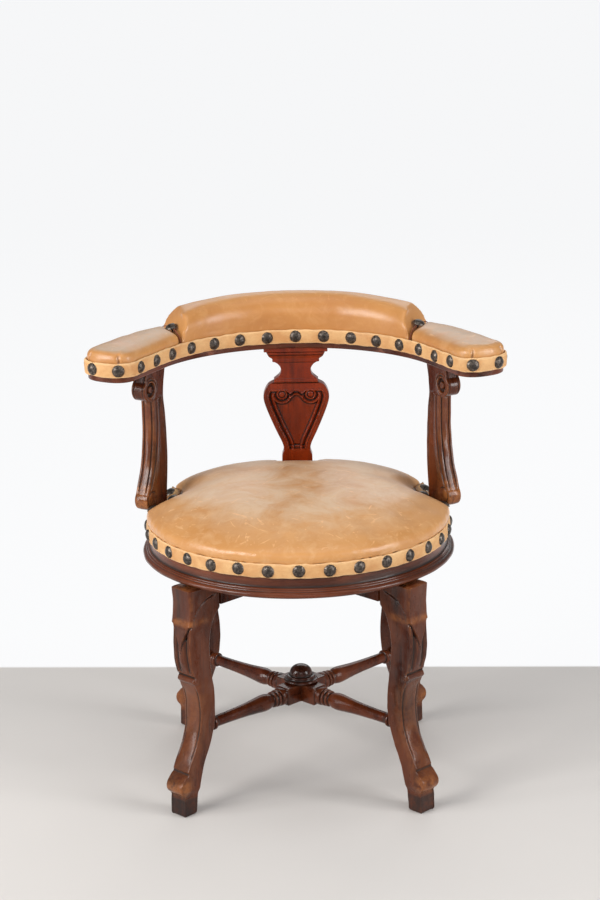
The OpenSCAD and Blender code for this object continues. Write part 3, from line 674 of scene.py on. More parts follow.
ARM_PROFILE = rows(  # distance from the axis of the chair, half width of the bar
    [15.1, 15], [16, 15], [43, 15], [44, 14.2], [45, 13.6], [47, 14.6], [50, 15.2], [52.5, 15.0],
    [54, 14.6], [55.2, 13.2], [55.6, 11.4], [57, 11.3], [57.4, 12.6], [58.6, 14.0], [60.2, 14.3],
    [61.8, 14.0], [62.8, 12.6], [63.2, 11.3], [65, 11.0], [65.4, 12.0], [66.6, 13.2], [68, 13.5],
    [69.4, 13.2], [70.4, 12.0], [70.8, 10.6], [72.5, 10.3], [76, 12.0], [80, 13.3], [85, 14.1],
    [91, 14.2], [98, 13.7], [108, 12.7], [125, 11.3], [145, 10.3], [170, 9.5], [198, 9.1], [201, 9.4],
    [201.5, 10.8], [203, 12.1], [204.8, 12.4], [206.6, 12.0], [207.6, 10.6], [208, 10.0], [209.5, 10.6],
    [211, 11.0], [212.6, 10.7], [213.4, 9.4], [214, 9.0], [223, 9.0], [223.2, 6.0], [232, 6.0])
SQUARENESS = rows([15.1, 40], [43, 40], [44, 20], [45, 4], [47, 2.4], [50, 2])  # 2 is round
BAR_HALF = 15.0  # of the square block where the two bars cross
SQUARE = np.array([(1, -1), (1, 1), (-1, 1), (-1, -1)])


def arm_rings(n=72):
    """Rings of one stretcher arm along +X: square at the middle, turned further out."""
    at = np.unique(np.concatenate([ARM_PROFILE[:, 0], np.arange(16, 42, 4), np.arange(72, 200, 3)]))
    half = np.interp(at, *ARM_PROFILE.T)
    power = np.interp(at, *SQUARENESS.T)
    a = np.linspace(0, 2 * math.pi, n, endpoint=False) + math.pi / n
    c, d = np.cos(a), np.sin(a)
    rings = []
    for x, h, p in zip(at, half, power):
        k = h / (np.abs(c) ** p + np.abs(d) ** p) ** (1 / p)
        y, z = k * c, k * d
        if x < 46:
            over = np.maximum(np.abs(y) + np.abs(z) - (2 * h - 1.6), 0) / 2
            y, z = y - np.sign(y) * over, z - np.sign(z) * over
        rings.append(np.column_stack([np.full(n, x), y, z + BAR_Z]))
    return np.array(rings)


def build_stretcher():
    arm = arm_rings()
    for node, angle, low, look in (("stretcher_lower", 45, True, WOOD_X),
                                   ("stretcher_upper", -45, False, WOOD_Y)):
        parts = Parts()
        for half_turn in (0, 180):
            parts.tube(turn(arm, angle + half_turn))
        z0, z1 = (-BAR_HALF, -0.1) if low else (0.1, BAR_HALF)
        lap = [at_height(SQUARE * [BAR_HALF, BAR_HALF - inset], BAR_Z + z)
               for z, inset in ((z0, 0.8), (z0 + 0.8, 0), (z1 - 0.8, 0), (z1, 0.8))]
        parts.tube(turn(lap, angle))
        parts.make("turned_" + node, look, BASE, node, "polished_wood")


def build_finial():
    """A cushion moulding and a dome, from the top of the crossing bars; its peg goes down."""
    dome = [(19.3 * math.cos(a) ** 0.85, 13.2 + 15.6 * math.sin(a))
            for a in np.radians(np.arange(0, 90, 6))]
    profile = rows([0.2, -10], [6, -10], [6, 0.1], [25.5, 0.1], [27.6, 0.9],
                   arc(26.6, 3.2, 2.5, -65, 78, 8), [26.0, 5.9], [24.4, 6.4], [24.2, 8.2],
                   arc(22.2, 9.4, 1.9, -30, 80, 6), [20.9, 11.4], [19.6, 11.6], [19.1, 12.4],
                   dome, [0.2, 28.8])
    parts = Parts()
    parts.lathe(profile + [0, BAR_Z + BAR_HALF], 96)
    parts.make("turned_finial", WOOD_DARK, BASE, "stretcher_finial", "dark_wood", sharp=60)


# ---- round seat frame

def build_seat_ring():
    """The ring's section, from its underside round the moulding to its flat top and its bore."""
    top, ledge = FRAME_TOP - RIM_Z, 30.0
    profile = rows(
        [171, 0], [246, 0], [247.5, 0.3], [248.2, 1.2], [248.4, 2.4], [250.0, 2.8],
        arc(RIM_R - 4.4, 7.2, 4.4, -75, 70, 12), [253.4, 11.8], [251.9, 12.3], [251.6, 13.4],
        [250.9, 14.3], [249.4, 14.6], [248.9, 15.3], [248.6, 16.2], [247.2, 16.7], [245.7, 17.4],
        [244.9, 18.8], [BAND_R, 21], [BAND_R, ledge], [BAND_R, 44], [BAND_R, top - 1],
        [BAND_R - 1, top], [230, top], [200, top], [186, top], [185, top - 1], [185, ledge + 0.6],
        [184.4, ledge], [171, ledge], [170, ledge - 1], [170, 1]) + [0, RIM_Z]
    parts = Parts()
    rings = parts.lathe(profile, 320, closed=True)
    radius = np.linalg.norm(rings[..., :2], axis=-1)
    worn = 0.25 * wave(rings, 60, 11) * step(radius, 246, 250) / radius
    parts.verts[0] = (rings + rings * [1, 1, 0] * worn[..., None]).reshape(-1, 3)
    parts.make("moulded_seat_frame", WOOD_RING, SEAT, "seat_frame", "polished_wood", sharp=42)


# ---- arm supports

SCROLL, SCROLL_R = (29.0, 650.0), 19.0
FOOT_SCROLL, FOOT_R = (34.0, 462.0), 17.0
SUPPORT_HALF = 12.0


def on_arc(r, phi):
    a = np.radians(phi)
    return np.stack([r * np.sin(a), RAIL_CY + r * np.cos(a)], -1)


ARM_DIR = np.array([math.cos(math.radians(ARM_PHI)), -math.sin(math.radians(ARM_PHI))])
OUT_DIR = np.array([math.sin(math.radians(ARM_PHI)), math.cos(math.radians(ARM_PHI))])
SUPPORT_AT = on_arc(RAIL_RI + SUPPORT_W, ARM_PHI)


def to_support(u, v, z, side=1):
    """Points given forward along the arm, outward from the support's middle plane, and up."""
    u, v, z = np.broadcast_arrays(np.asarray(u, float), np.asarray(v, float), np.asarray(z, float))
    xy = SUPPORT_AT + u[..., None] * ARM_DIR + v[..., None] * OUT_DIR
    return np.stack([xy[..., 0] * side, xy[..., 1], z], -1)


def support_edges():
    """Front and back outlines of an arm support seen from its side, both upwards."""
    front = rows([38, RAIL_Z], arc(*SCROLL, SCROLL_R, 45, -84, 22), [21, SCROLL[1] - 19.6],
                 spline([(20.6, 629), (20, 607), (20, 580), (23, 550), (30, 515), (41, 488)]),
                 arc(*FOOT_SCROLL, FOOT_R, 42, -86, 22))
    back = rows([-20, RAIL_Z], spline([(-14, 655), (-12, 630), (-16, 600), (-19, 560),
                                       (-19, 510), (-15, 470), (-13, 449)]),
                [-12, 448], [18, 447.4], [30, 445.6], [34, 445])
    return front[::-1], back[::-1]


def support_front(z, v):
    """Carving on the front edge of an arm support: a rounded middle between two quirks."""
    side = np.abs(v)
    shaft = np.where(side < 7, 1.0 - (v / 7) ** 2, 0) + ridges(side, (7.0, 1.6, -1.5))
    out = shaft * step(z, 470, 486) * step(z, 631, 622)
    out += ridges(side, (8.4, 1.4, -0.9)) * step(z, 632, 640)
    return out + (0.8 - 1.6 * (v / SUPPORT_HALF) ** 2) * step(z, 482, 470)


def support_side(u, z, back, front):
    """Carving on the two flat faces of an arm support: a hollow shaft, the scroll and its eye."""
    width, s = front - back, u - back
    shaft = step(z, 462, 492) * step(z, 640, 618)
    hollow = np.clip((s - 6.5) / np.maximum(width - 21, 1), 0, 1)
    out = shaft * (ridges(s, (5.0, 1.7, -0.9), (width - 11.8, 2.2, 0.9), (width - 8.6, 1.7, -1.5))
                   - 2.6 * np.sin(hollow * math.pi) ** 1.4)
    du, dz = u - SCROLL[0], z - SCROLL[1]
    rho, theta = np.hypot(du, dz), np.degrees(np.arctan2(dz, du))
    out += 1.0 * step(rho, 21, 19) * step(z, 622, 634)
    eye = step(rho, 5.4, 6.6) * step(rho, 12.6, 11.2)
    out += 0.4 * np.sqrt(np.clip(1 - (rho / 5.6) ** 2, 0, 1)) - 4.6 * eye
    turn_at = (theta - 60) % 360
    spiral = 15.6 + 9.5 * (turn_at / 360) ** 1.3
    out += ridges(rho, (13.6, 1.6, 0.6))
    out += ridges(rho, (spiral, 1.7, -1.5)) * step(turn_at, 0, 30) * step(turn_at, 200, 130)
    du, dz = u - FOOT_SCROLL[0] + 2, z - FOOT_SCROLL[1]
    rho = np.hypot(du, dz)
    return out + ridges(rho, (13.5, 2.4, -1.2)) * step(du, -12, -6) + 0.9 * step(rho, 12, 4)


def support_rings(seed, n_side=56, n_front=26, n_back=10, radius=1.6):
    front, back = support_edges()
    levels = np.unique(np.concatenate([
        np.arange(452, 620, 2.0), np.arange(445, 452, 0.7), np.arange(620, 636, 0.6),
        np.arange(636, RAIL_Z, 1.2), np.arange(455, 482, 1.2), [RAIL_Z - 0.1]]))
    rings = []
    for z in levels:
        outer = np.interp(z, front[:, 1], front[:, 0])
        inner = np.interp(z, back[:, 1], back[:, 0])
        rad = min(radius, max((outer - inner) / 4, 0.1))
        side = support_side(np.linspace(inner + rad, outer - rad, n_side), z, inner, outer)
        face = support_front(z, np.linspace(1, -1, n_front) * (SUPPORT_HALF - rad))
        line = board_ring(inner, outer, SUPPORT_HALF, rad, side, face, n_back)
        rings.append(at_height(line, z))
    rings = np.array(rings)
    rings[..., 0] += wave(rings, 30, seed) * 0.25
    return rings


def support_rub(co):
    """The foot scroll and the front edge, rubbed bare by hands and knees."""
    u = (np.abs(co[:, 0]) - SUPPORT_AT[0]) * ARM_DIR[0] + (co[:, 1] - SUPPORT_AT[1]) * ARM_DIR[1]
    z = co[:, 2]
    knob = step(u, 26, 44) * step(z, 500, 480)
    return np.maximum(0.8 * knob, 0.22 * step(u, 8, 20) * step(z, 640, 620))


def build_supports():
    for side, node in ((1, "left_arm_support"), (-1, "right_arm_support")):
        rings = support_rings(20 + side)
        parts = Parts()
        parts.tube(to_support(rings[..., 0], rings[..., 1], rings[..., 2], side))
        foot = [to_support([-12.8, -0.2, -0.2, -12.8], [-11.8, -11.8, -0.2, -0.2], z, side)
                for z in (FRAME_TOP + 0.05, FRAME_TOP + 8)]
        parts.tube(foot)
        parts.make("scrolled_" + node, WOOD, SEAT, node, "polished_wood", rub=support_rub)


# ---- splat

def splat_edge():
    """Half the splat's outline, upwards. Written as (half width, depth below the rail)."""
    foot = RAIL_Z - FRAME_TOP - 0.4
    down = rows(
        [54.5, 0], [54.5, 8.2], [54, 8.5], [50.4, 8.7], [50, 9.2],
        spline([(49.4, 11), (46, 17), (40.4, 20.8)]), [40, 21.2], [40, 25.8], [39.6, 26.2],
        [36.2, 26.6], spline([(35.6, 27.4), (30, 31), (25.5, 39), (27.6, 49), (36, 57)]),
        [37.8, 58], [38, 62], [39, 62.6],
        spline([(41, 63.4), (48, 68), (54, 78), (56, 91), (50, 112), (36, 146), (25, 170),
                (23, 182), (26, 192)]),
        [26.4, foot])
    return down[::-1] * MIRROR + [0, RAIL_Z]


VOLUTE_AT, VOLUTE_R, RECESS_TOP, BORDER = (24.5, 596.0), 8.6, 602.0, 9.0
SHIELD_LOW, PANEL_LOW, PANEL_HIGH, SHIELD_HIGH = 492, 500, 612, 622


def splat_relief(x, z, edge):
    """How far the splat's front face stands out, over a grid of points.

    s is the distance inside the recess, which has volutes in its upper corners."""
    points = np.stack([np.abs(x), z], -1)
    d = np.full(x.shape, 1e9)
    for p, q in zip(edge[:-1], edge[1:]):
        if max(p[1], q[1]) < SHIELD_LOW or min(p[1], q[1]) > SHIELD_HIGH:
            continue
        pq = q - p
        t = np.clip(((points - p) @ pq) / (pq @ pq), 0, 1)
        d = np.minimum(d, np.linalg.norm(points - p - t[..., None] * pq, axis=-1))
    vd = np.hypot(np.abs(x) - VOLUTE_AT[0], z - VOLUTE_AT[1])
    arch = RECESS_TOP - 5.0 * bump(np.abs(x) - 10, 7)
    s = np.minimum(np.minimum(d - BORDER, arch - z), vd - VOLUTE_R)
    s = np.where((z < PANEL_LOW) | (z > PANEL_HIGH), -20, s)
    out = ridges(s, (-1.0, 1.6, 1.0), (6.8, 1.6, 1.2)) - 4.6 * step(s, 0.0, 2.0)
    out += 2.6 * step(s, 2.2, 6.2) - 3.6 * step(s, 7.9, 9.6)
    out += ridges(vd, (5.6, 1.5, -1.4)) * (z < 606) * (vd < 9) + ridges(vd, (0, 3.4, 0.5))
    out += ridges(z, (505.5, 2.4, -1.6)) * step(np.abs(x), 16, 13)
    out += 3.4 * step(z, 671.0, 672.2) + 1.6 * step(z, 658, 670) + 1.3 * step(z, 652.6, 653.6)
    out += 1.5 * step(z, 617.2, 618.2) * step(z, 625, 621)
    return out + ridges(z, (665.4, 1.2, -1.2), (616.4, 1.4, -1.6), (671.2, 1.2, -1.4))


def build_splat(n_front=104, n_side=8, n_back=48, radius=1.5):
    edge = splat_edge()
    levels = np.unique(np.concatenate([
        np.arange(FRAME_TOP + 0.3, PANEL_LOW, 2.5), np.arange(PANEL_LOW, 616, 1.1),
        np.arange(PANEL_HIGH, 628, 0.6),
        np.arange(628, 650, 1.4), np.arange(650, 675, 0.55), np.arange(675, RAIL_Z - 0.2, 1.2),
        [RAIL_Z - 0.1]]))
    half = np.interp(levels, edge[:, 1], edge[:, 0])
    x = (half - radius)[:, None] * np.linspace(1, -1, n_front)
    out = splat_relief(x, np.repeat(levels[:, None], n_front, 1), edge)
    rings = []
    for h, face, z in zip(half, out, levels):
        line = board_ring(-SPLAT_Y - SPLAT_T, -SPLAT_Y, h, radius, np.zeros(n_side), face, n_back,
                          max(face[0], 0))
        rings.append(at_height(line[:, ::-1] * MIRROR, z))
    parts = Parts()
    parts.tube(rings)
    parts.make("carved_splat", WOOD_RED, SEAT, "back_splat", "polished_wood")


# ---- rail, bands and nails

ARC_LEN = RAIL_RI * math.radians(ARM_PHI)


def rail_width(along):
    t = np.clip(np.asarray(along, float) / (ARC_LEN + ARM_LEN), 0, 1)
    return RAIL_W + (TIP_W - RAIL_W) * t * t * (3 - 2 * t)


def rail_width_at(phi):
    return rail_width(RAIL_RI * np.radians(phi))


def arm_point(u, w):
    return (on_arc(RAIL_RI + np.asarray(w, float), ARM_PHI)
            + np.asarray(u, float)[..., None] * ARM_DIR)


def arm_outline(phi_in, phi_out, g, n=24, tip_step=5):
    """One side of the rail's outline, grown by g: inner edge, tip, then outer edge."""
    inner = on_arc(RAIL_RI - g, np.linspace(phi_in, ARM_PHI, n + 1))
    t = np.radians(np.arange(-90, 91, tip_step))
    c, s = np.cos(t).clip(0), np.sin(t)
    tip = arm_point(ARM_LEN + (TIP_LEN + g) * c ** 0.83,
                    TIP_W / 2 + (TIP_W / 2 + g) * np.sign(s) * np.abs(s) ** 0.83)
    u = np.linspace(ARM_LEN * 0.75, 0, 4)
    straight = arm_point(u, rail_width(ARC_LEN + u) + g)
    phi = np.linspace(ARM_PHI, phi_out, n + 1)[1:]
    outer = on_arc(RAIL_RI + rail_width_at(phi) + g, phi)
    return np.vstack([inner, tip, straight, outer])


def full_outline(g):
    half = arm_outline(0, 0, g, 48)
    return np.vstack([half, half[-2:0:-1] * [-1, 1]])


def back_outline(phi_in, phi_out, g, n=40):
    k = np.linspace(-1, 1, n + 1)
    inner = on_arc(RAIL_RI - g, phi_in * k)
    phi = phi_out * k[::-1]
    return np.vstack([inner, on_arc(RAIL_RI + rail_width_at(np.abs(phi)) + g, phi)])


def around(line):
    """A closed outline with its first point again at the end, and the distance to each point."""
    loop = np.vstack([line, line[:1]])
    return loop, np.concatenate([[0], np.cumsum(np.linalg.norm(np.diff(loop, axis=0), axis=1))])


def resample(line, spacing):
    """Evenly spaced points, and their directions, round a closed outline."""
    loop, lengths = around(line)
    n = int(round(lengths[-1] / spacing))
    at = np.arange(n) * lengths[-1] / n
    points = np.stack([np.interp(at, lengths, loop[:, k]) for k in (0, 1)], 1)
    return points, unit(np.roll(points, -1, 0) - np.roll(points, 1, 0))


def board_rings(outline_of, z0, z1, round_by=2.2):
    """Rings of a flat board with a rounded lower edge, from an outline function of its growth."""
    rings = [(z0 + round_by * (1 - math.cos(t)), -round_by * (1 - math.sin(t)))
             for t in np.radians([0, 20, 40, 60, 75, 90])]
    rings += [(z0 + 5, 0), (z0 + 10, 0), (z1 - 1, 0), (z1, -0.8)]
    return [at_height(outline_of(g), z) for z, g in rings]


def build_rails():
    outlines = {"left_arm_rail": lambda g: arm_outline(JOINT_PHI, JOINT_PHI, g),
                "right_arm_rail": lambda g: arm_outline(JOINT_PHI, JOINT_PHI, g) * [-1, 1],
                "back_rail": lambda g: back_outline(JOINT_PHI - 0.02, JOINT_PHI - 0.02, g)}
    for node, outline_of in outlines.items():
        parts = Parts()
        parts.tube(board_rings(outline_of, RAIL_Z, RAIL_TOP))
        parts.make("shaped_" + node, WOOD_RAIL, SEAT, node, "polished_wood")


def band_rings(points, ahead, z0, height, thick, nails, seed):
    """A strip of leather on edge along a closed line, rippled, and pinched at the nails."""
    normal = np.stack([ahead[:, 1], -ahead[:, 0]], 1)
    if ((points - points.mean(0)) * normal).sum() < 0:
        normal = -normal
    near = np.min(np.linalg.norm(points[:, None] - nails[None], axis=-1), axis=1)
    flat = at_height(points, 0)
    up = wave(flat, 26, seed) * 0.55
    down = wave(flat, 30, seed + 1) * 0.45
    section = [(-0.5, 0.0), (0.1, -0.012), (0.42, 0.02), (0.56, 0.10), (0.62, 0.22), (0.72, 0.36),
               (0.78, 0.5), (0.74, 0.64), (0.66, 0.78), (0.60, 0.90), (0.40, 0.985), (0.1, 1.01),
               (-0.5, 1.0)]
    rings = []
    for across, rise in section:
        z = z0 + height * rise + up * rise + down * (1 - rise)
        here = at_height(points, z)
        puff = (wave(here, 17, seed + 2) * 0.28 + wave(here, 6, seed + 3) * 0.10) * (across > 0)
        pinch = -0.9 * bump(near, 15) * bump(rise - 0.5, 0.7) * (across > 0)
        off = across * thick + puff + pinch
        rings.append(at_height(points + normal * off[:, None], z))
    return np.array(rings).transpose(1, 0, 2)


NAIL_PROFILE = [(0.05, 5.0), (2.2, 4.9), (4.4, 4.45), (6.5, 3.6), (8.2, 2.5), (9.4, 1.3),
                (10.1, 0.35), (10.3, -0.2), (9.9, -0.5), (8.6, -0.3), (1.4, -0.3), (1.2, -8.5),
                (0.1, -10.5)]


def nail_shape(place, out, seed):
    """A domed nail head at place, facing out, a little out of true."""
    r = np.random.default_rng(seed)
    rings = turned(NAIL_PROFILE, 28)
    head = (rings[..., 2] > -1)[..., None]
    rings = rings + head * wave(rings, 9, seed)[..., None] * [0.1, 0.1, 0.22]
    out = Vector(out) + Vector(r.normal(size=3) * 0.035)
    quat = Vector((0, 0, 1)).rotation_difference(out.normalized())
    m = np.array(quat.to_matrix())
    return rings @ m.T + np.asarray(place), grid_faces(*rings.shape[:2])


def nails_piece(name, places, node, seed):
    parts = Parts()
    for k, (place, out) in enumerate(places):
        parts.add(*nail_shape(place, out, seed + k))
    return parts.make(name, NAIL, SEAT, node, "bronzed_steel", sharp=50)


def rail_nail_places():
    line = full_outline(LEATHER_T + GIMP_T)
    loop, lengths = around(line)
    places = []
    for k in range(RAIL_NAILS):
        s = k * lengths[-1] / RAIL_NAILS
        i = min(np.searchsorted(lengths, s, "right") - 1, len(line) - 1)
        d = (loop[i + 1] - loop[i]) / (lengths[i + 1] - lengths[i])
        p = loop[i] + d * (s - lengths[i])
        places.append(((*p, ARM_GIMP_Z + GIMP_H / 2 + rng.uniform(-0.9, 0.9)), (-d[1], d[0], 0)))
    middle = np.mean([p[0] for p in places], 0)
    outside = sum(np.dot(np.subtract(p, middle)[:2], n[:2]) for p, n in places)
    sign = 1 if outside > 0 else -1
    return [(p, (n[0] * sign, n[1] * sign, 0)) for p, n in places]


def build_band(name, node, points, ahead, z0, places, seed):
    """A trim band along a closed line, pinched at its nails."""
    nails = np.array([place[:2] for place, _ in places])
    rings = band_rings(points, ahead, z0, GIMP_H, GIMP_T, nails, seed)
    make(name, rings.reshape(-1, 3), grid_faces(*rings.shape[:2], True, True), GIMP, SEAT, node,
         "trim_leather", sharp=0)


def build_bands():
    places = rail_nail_places()
    nails_piece("rail_nail_heads", places, "arm_nails", 100)
    points, ahead = resample(full_outline(LEATHER_T + GIMP_T / 2), 2.2)
    build_band("rail_trim_band", "arm_gimp", points, ahead, ARM_GIMP_Z, places, 31)
    angles = np.radians(-90 + np.arange(SEAT_NAILS) * 360 / SEAT_NAILS)
    r = BAND_R + LEATHER_T + GIMP_T
    places = [((r * math.cos(a), r * math.sin(a), GIMP_Z + GIMP_H / 2 + rng.uniform(-0.8, 0.8)),
               (math.cos(a), math.sin(a), 0)) for a in angles]
    nails_piece("seat_nail_heads", places, "seat_nails", 200)
    c, d = circle(720)
    points, ahead = (BAND_R + LEATHER_T + GIMP_T / 2) * np.stack([c, d], 1), np.stack([-d, c], 1)
    build_band("seat_trim_band", "seat_gimp", points, ahead, GIMP_Z, places, 41)


# ---- leather strips round the uprights

ARM_NOTCH = [(60, -20), (45, -20), (20, -20), (-6, -19), (-26, -17), (-42, -8), (-52, 8), (-56, 16)]
SPLAT_NOTCH = [(-40, 250), (-38, 216), (-34, 202), (-22, 196.5), (22, 196.5), (34, 202), (38, 216),
               (40, 250)]
STRIP_HALF, SPLAT_STRIP_HALF, RIM_INSIDE = 8.5, 5.5, 249.3
NOTCH_HALVES = (STRIP_HALF, STRIP_HALF, SPLAT_STRIP_HALF)
SEAM_NAIL = (RAIL_RI + 30.0, 47.5)  # radius and angle of the nail where two pads meet


def notch_lines():
    """Middle line of each leather strip that goes round an upright, in plan."""
    lines = []
    for side in (1, -1):
        line = spline(ARM_NOTCH, 10)
        at = to_support(line[:, 0], line[:, 1], 0, side)[:, :2]
        lines.append(at if side > 0 else at[::-1])
    lines.append(spline(SPLAT_NOTCH, 10))
    return lines


def strip_rings(line, seed, half):
    """A strip lying on the frame, its far edge turned up against the cushion."""
    ahead = unit(np.gradient(line, axis=0))
    inward = np.stack([ahead[:, 1], -ahead[:, 0]], 1)
    if (inward * -line).sum() < 0:
        inward = -inward
    section = [(-8.5, 0.2), (-8.9, 2.4), (-8.1, 4.8), (-6.4, 5.7), (-4, 6.6), (-1, 8.0), (2, 9.8),
               (5, 12.0), (7.4, 14.0), (8.5, 14.6), (8.9, 13.2), (8.6, 9.0), (6, 4.6), (0, 0.6)]
    rings = []
    for across, up in section:
        ripple = wave(at_height(line, across), 15, seed) * 0.35
        at = line + inward * across * half / STRIP_HALF
        at = at * np.minimum(1, RIM_INSIDE / np.linalg.norm(at, axis=1, keepdims=True))
        rings.append(at_height(at, FRAME_TOP + 0.3 + up + ripple * (up > 1)))
    return np.array(rings).transpose(1, 0, 2), inward


def notch_nails(line, inward, shares):
    """Nails at shares of a strip's length, leaning away from the cushion."""
    at = [int(share * (len(line) - 1)) for share in shares]
    return [((*(line[i] - inward[i] * 0.5), FRAME_TOP + 8.4), (*(-inward[i] * 0.42), 0.9)) for i in at]


def build_notch_strips():
    band, under, nails = Parts(), Parts(), []
    left = (0.13, 0.52, 0.80)
    shares = (left, [1 - share for share in left], (0.14, 0.36, 0.64, 0.86))
    for k, line in enumerate(notch_lines()):
        rings, inward = strip_rings(line, 60 + k, NOTCH_HALVES[k])
        band.tube(rings)
        ends = line[[-1, 0]]
        a = np.linspace(*np.unwrap(np.arctan2(ends[:, 1], ends[:, 0])), 12)
        loop = np.vstack([line, (RIM_INSIDE - 1.1) * np.stack([np.cos(a), np.sin(a)], 1)])
        under.tube([at_height(loop, FRAME_TOP + z) for z in (0.1, 1.4)])
        nails += notch_nails(line, inward, shares[k])
    band.make("notch_trim_strips", GIMP, SEAT, (), "trim_leather", sharp=0)
    under.make("notch_leather", LEATHER, SEAT, (), "tan_leather", sharp=30)
    for side in (1, -1):
        place = on_arc(*SEAM_NAIL) * [side, 1]
        nails.append(((*place, ARM_TOP + 1.0), (0.25 * side, -0.2, 0.94)))
    nails_piece("joint_nail_heads", nails, (), 300)


# ---- simulated pads

PRESSURE, STIFFNESS, CLOTH_FRAMES = 4.0, 15, 20


def start_object(name, rings):
    parts = Parts()
    parts.tube(rings)
    obj = linked(name, new_mesh(name, np.vstack(parts.verts), parts.faces))
    fix_normals(obj.data)
    return obj


def bake_modifiers(obj):
    """Replaces the object's mesh by its mesh with every modifier applied."""
    depsgraph = bpy.context.evaluated_depsgraph_get()
    mesh = bpy.data.meshes.new_from_object(obj.evaluated_get(depsgraph))
    obj.modifiers.clear()
    obj.data = mesh


def set_coordinates(mesh, co):
    mesh.vertices.foreach_set("co", np.asarray(co).ravel())
    mesh.update()


def spread_out(mesh, values, passes=10):
    """Averages values at points with their neighbours', to take small ripples out."""
    a, b = edge_ends(mesh)
    count = np.bincount(np.concatenate([a, b]), minlength=len(values))[:, None]
    for _ in range(passes):
        total = np.zeros_like(values)
        np.add.at(total, a, values[b])
        np.add.at(total, b, values[a])
        values = 0.4 * values + 0.6 * total / count
    return values


def risen(co, low, high):
    """0 for points at a height low, 1 at high."""
    return step(co[:, 2], low, high)


def held_group(obj, share):
    """A vertex group that holds back the points whose share of the movement is less than 1."""
    group = obj.vertex_groups.new(name="held")
    for i in np.nonzero(share < 0.98)[0]:
        group.add([int(i)], float(1 - share[i]), "REPLACE")


def run_cloth(obj):
    """Blows the shape up as cloth under pressure, and keeps the last frame's mesh."""
    cloth = obj.modifiers.new("swell", "CLOTH")
    cloth.settings.use_pressure = True
    cloth.settings.uniform_pressure_force = PRESSURE
    cloth.settings.tension_stiffness = STIFFNESS
    cloth.settings.compression_stiffness = STIFFNESS
    cloth.settings.bending_stiffness = 0.8
    cloth.settings.vertex_group_mass = "held"
    cloth.settings.effector_weights.gravity = 0
    cloth.point_cache.frame_start = 1
    cloth.point_cache.frame_end = CLOTH_FRAMES
    for at in range(1, CLOTH_FRAMES + 1):
        bpy.context.scene.frame_set(at)
    bake_modifiers(obj)


def inflate(obj, voxel, cap, held_below, free_above):
    """Swells a closed shape by up to cap mm, held fast below one height and free above another."""
    remesh = obj.modifiers.new("remesh", "REMESH")
    remesh.mode = "VOXEL"
    remesh.voxel_size = voxel * MM
    bake_modifiers(obj)
    before = coordinates(obj.data)
    share = risen(before / MM, held_below, free_above)
    held_group(obj, share)
    run_cloth(obj)
    move = spread_out(obj.data, coordinates(obj.data) - before)
    far = np.linalg.norm(move, axis=1, keepdims=True)
    limit = cap * MM * share[:, None]
    move *= np.where(far > 1e-9, limit * np.tanh(far / np.maximum(limit, 1e-6))
                     / np.maximum(far, 1e-9), 0)
    set_coordinates(obj.data, before + move)
    bpy.context.scene.frame_set(1)
    obj.vertex_groups.clear()
    smooth = obj.modifiers.new("smooth", "SUBSURF")
    smooth.levels = smooth.render_levels = 1
    bake_modifiers(obj)


def sculpt(obj, shift):
    """Moves each point by shift(co_mm, normal), in millimetres."""
    mesh = obj.data
    co = coordinates(mesh) / MM
    set_coordinates(mesh, (co + shift(co, coordinates(mesh, "normal"))) * MM)


FREE_EDGE = 255.0  # plan radius of the cushion away from the notches


def cushion_edge(theta):
    """Plan radius of the cushion: round, but held back inside the leather strips."""
    r = np.linspace(150, FREE_EDGE, 211)
    points = np.stack([np.outer(np.cos(theta), r), np.outer(np.sin(theta), r)], -1)
    edge = np.full(len(theta), FREE_EDGE)
    for line, half in zip(notch_lines(), NOTCH_HALVES):
        near = np.full(points.shape[:2], 1e9)
        for p in line:
            near = np.minimum(near, np.hypot(points[..., 0] - p[0], points[..., 1] - p[1]))
        hit = near < half + 0.5
        edge = np.minimum(edge, np.where(hit.any(1), r[hit.argmax(1)], FREE_EDGE))
    kernel = np.array([1, 2, 3, 4, 3, 2, 1]) / 16
    return np.convolve(np.concatenate([edge[-3:], edge, edge[:3]]), kernel, "valid") - 0.4


def blurred(values, half):
    """A closed row of values, averaged with their neighbours on both sides."""
    kernel = np.hanning(2 * half + 3)[1:-1]
    wide = np.concatenate([values[-half:], values, values[:half]])
    return np.convolve(wide, kernel / kernel.sum(), "valid")


def cushion_top(r, edge, theta):
    """Height of the cushion's top: a dome, pulled down where the strips hold its edge."""
    c = np.clip(r / 251, 0, 1) ** (1 / 0.86)
    dome = (1 - c ** 2) ** 0.56
    at_arms = np.cos(theta) ** 2 > 0.3
    wide, near = np.where(at_arms, 58.0, 26.0), np.clip((252 - edge) / 6, 0, 1)
    held = np.where(at_arms, np.clip(blurred(near, 22) * 1.25, 0, 1), near)
    drop = np.clip((np.where(at_arms, blurred(edge, 14), edge) - 4 - r) / wide, 0, 1)
    return 455 + (CROWN_Z - 5 - 455) * dome * (1 - 0.94 * held * (1 - drop) ** 1.9)


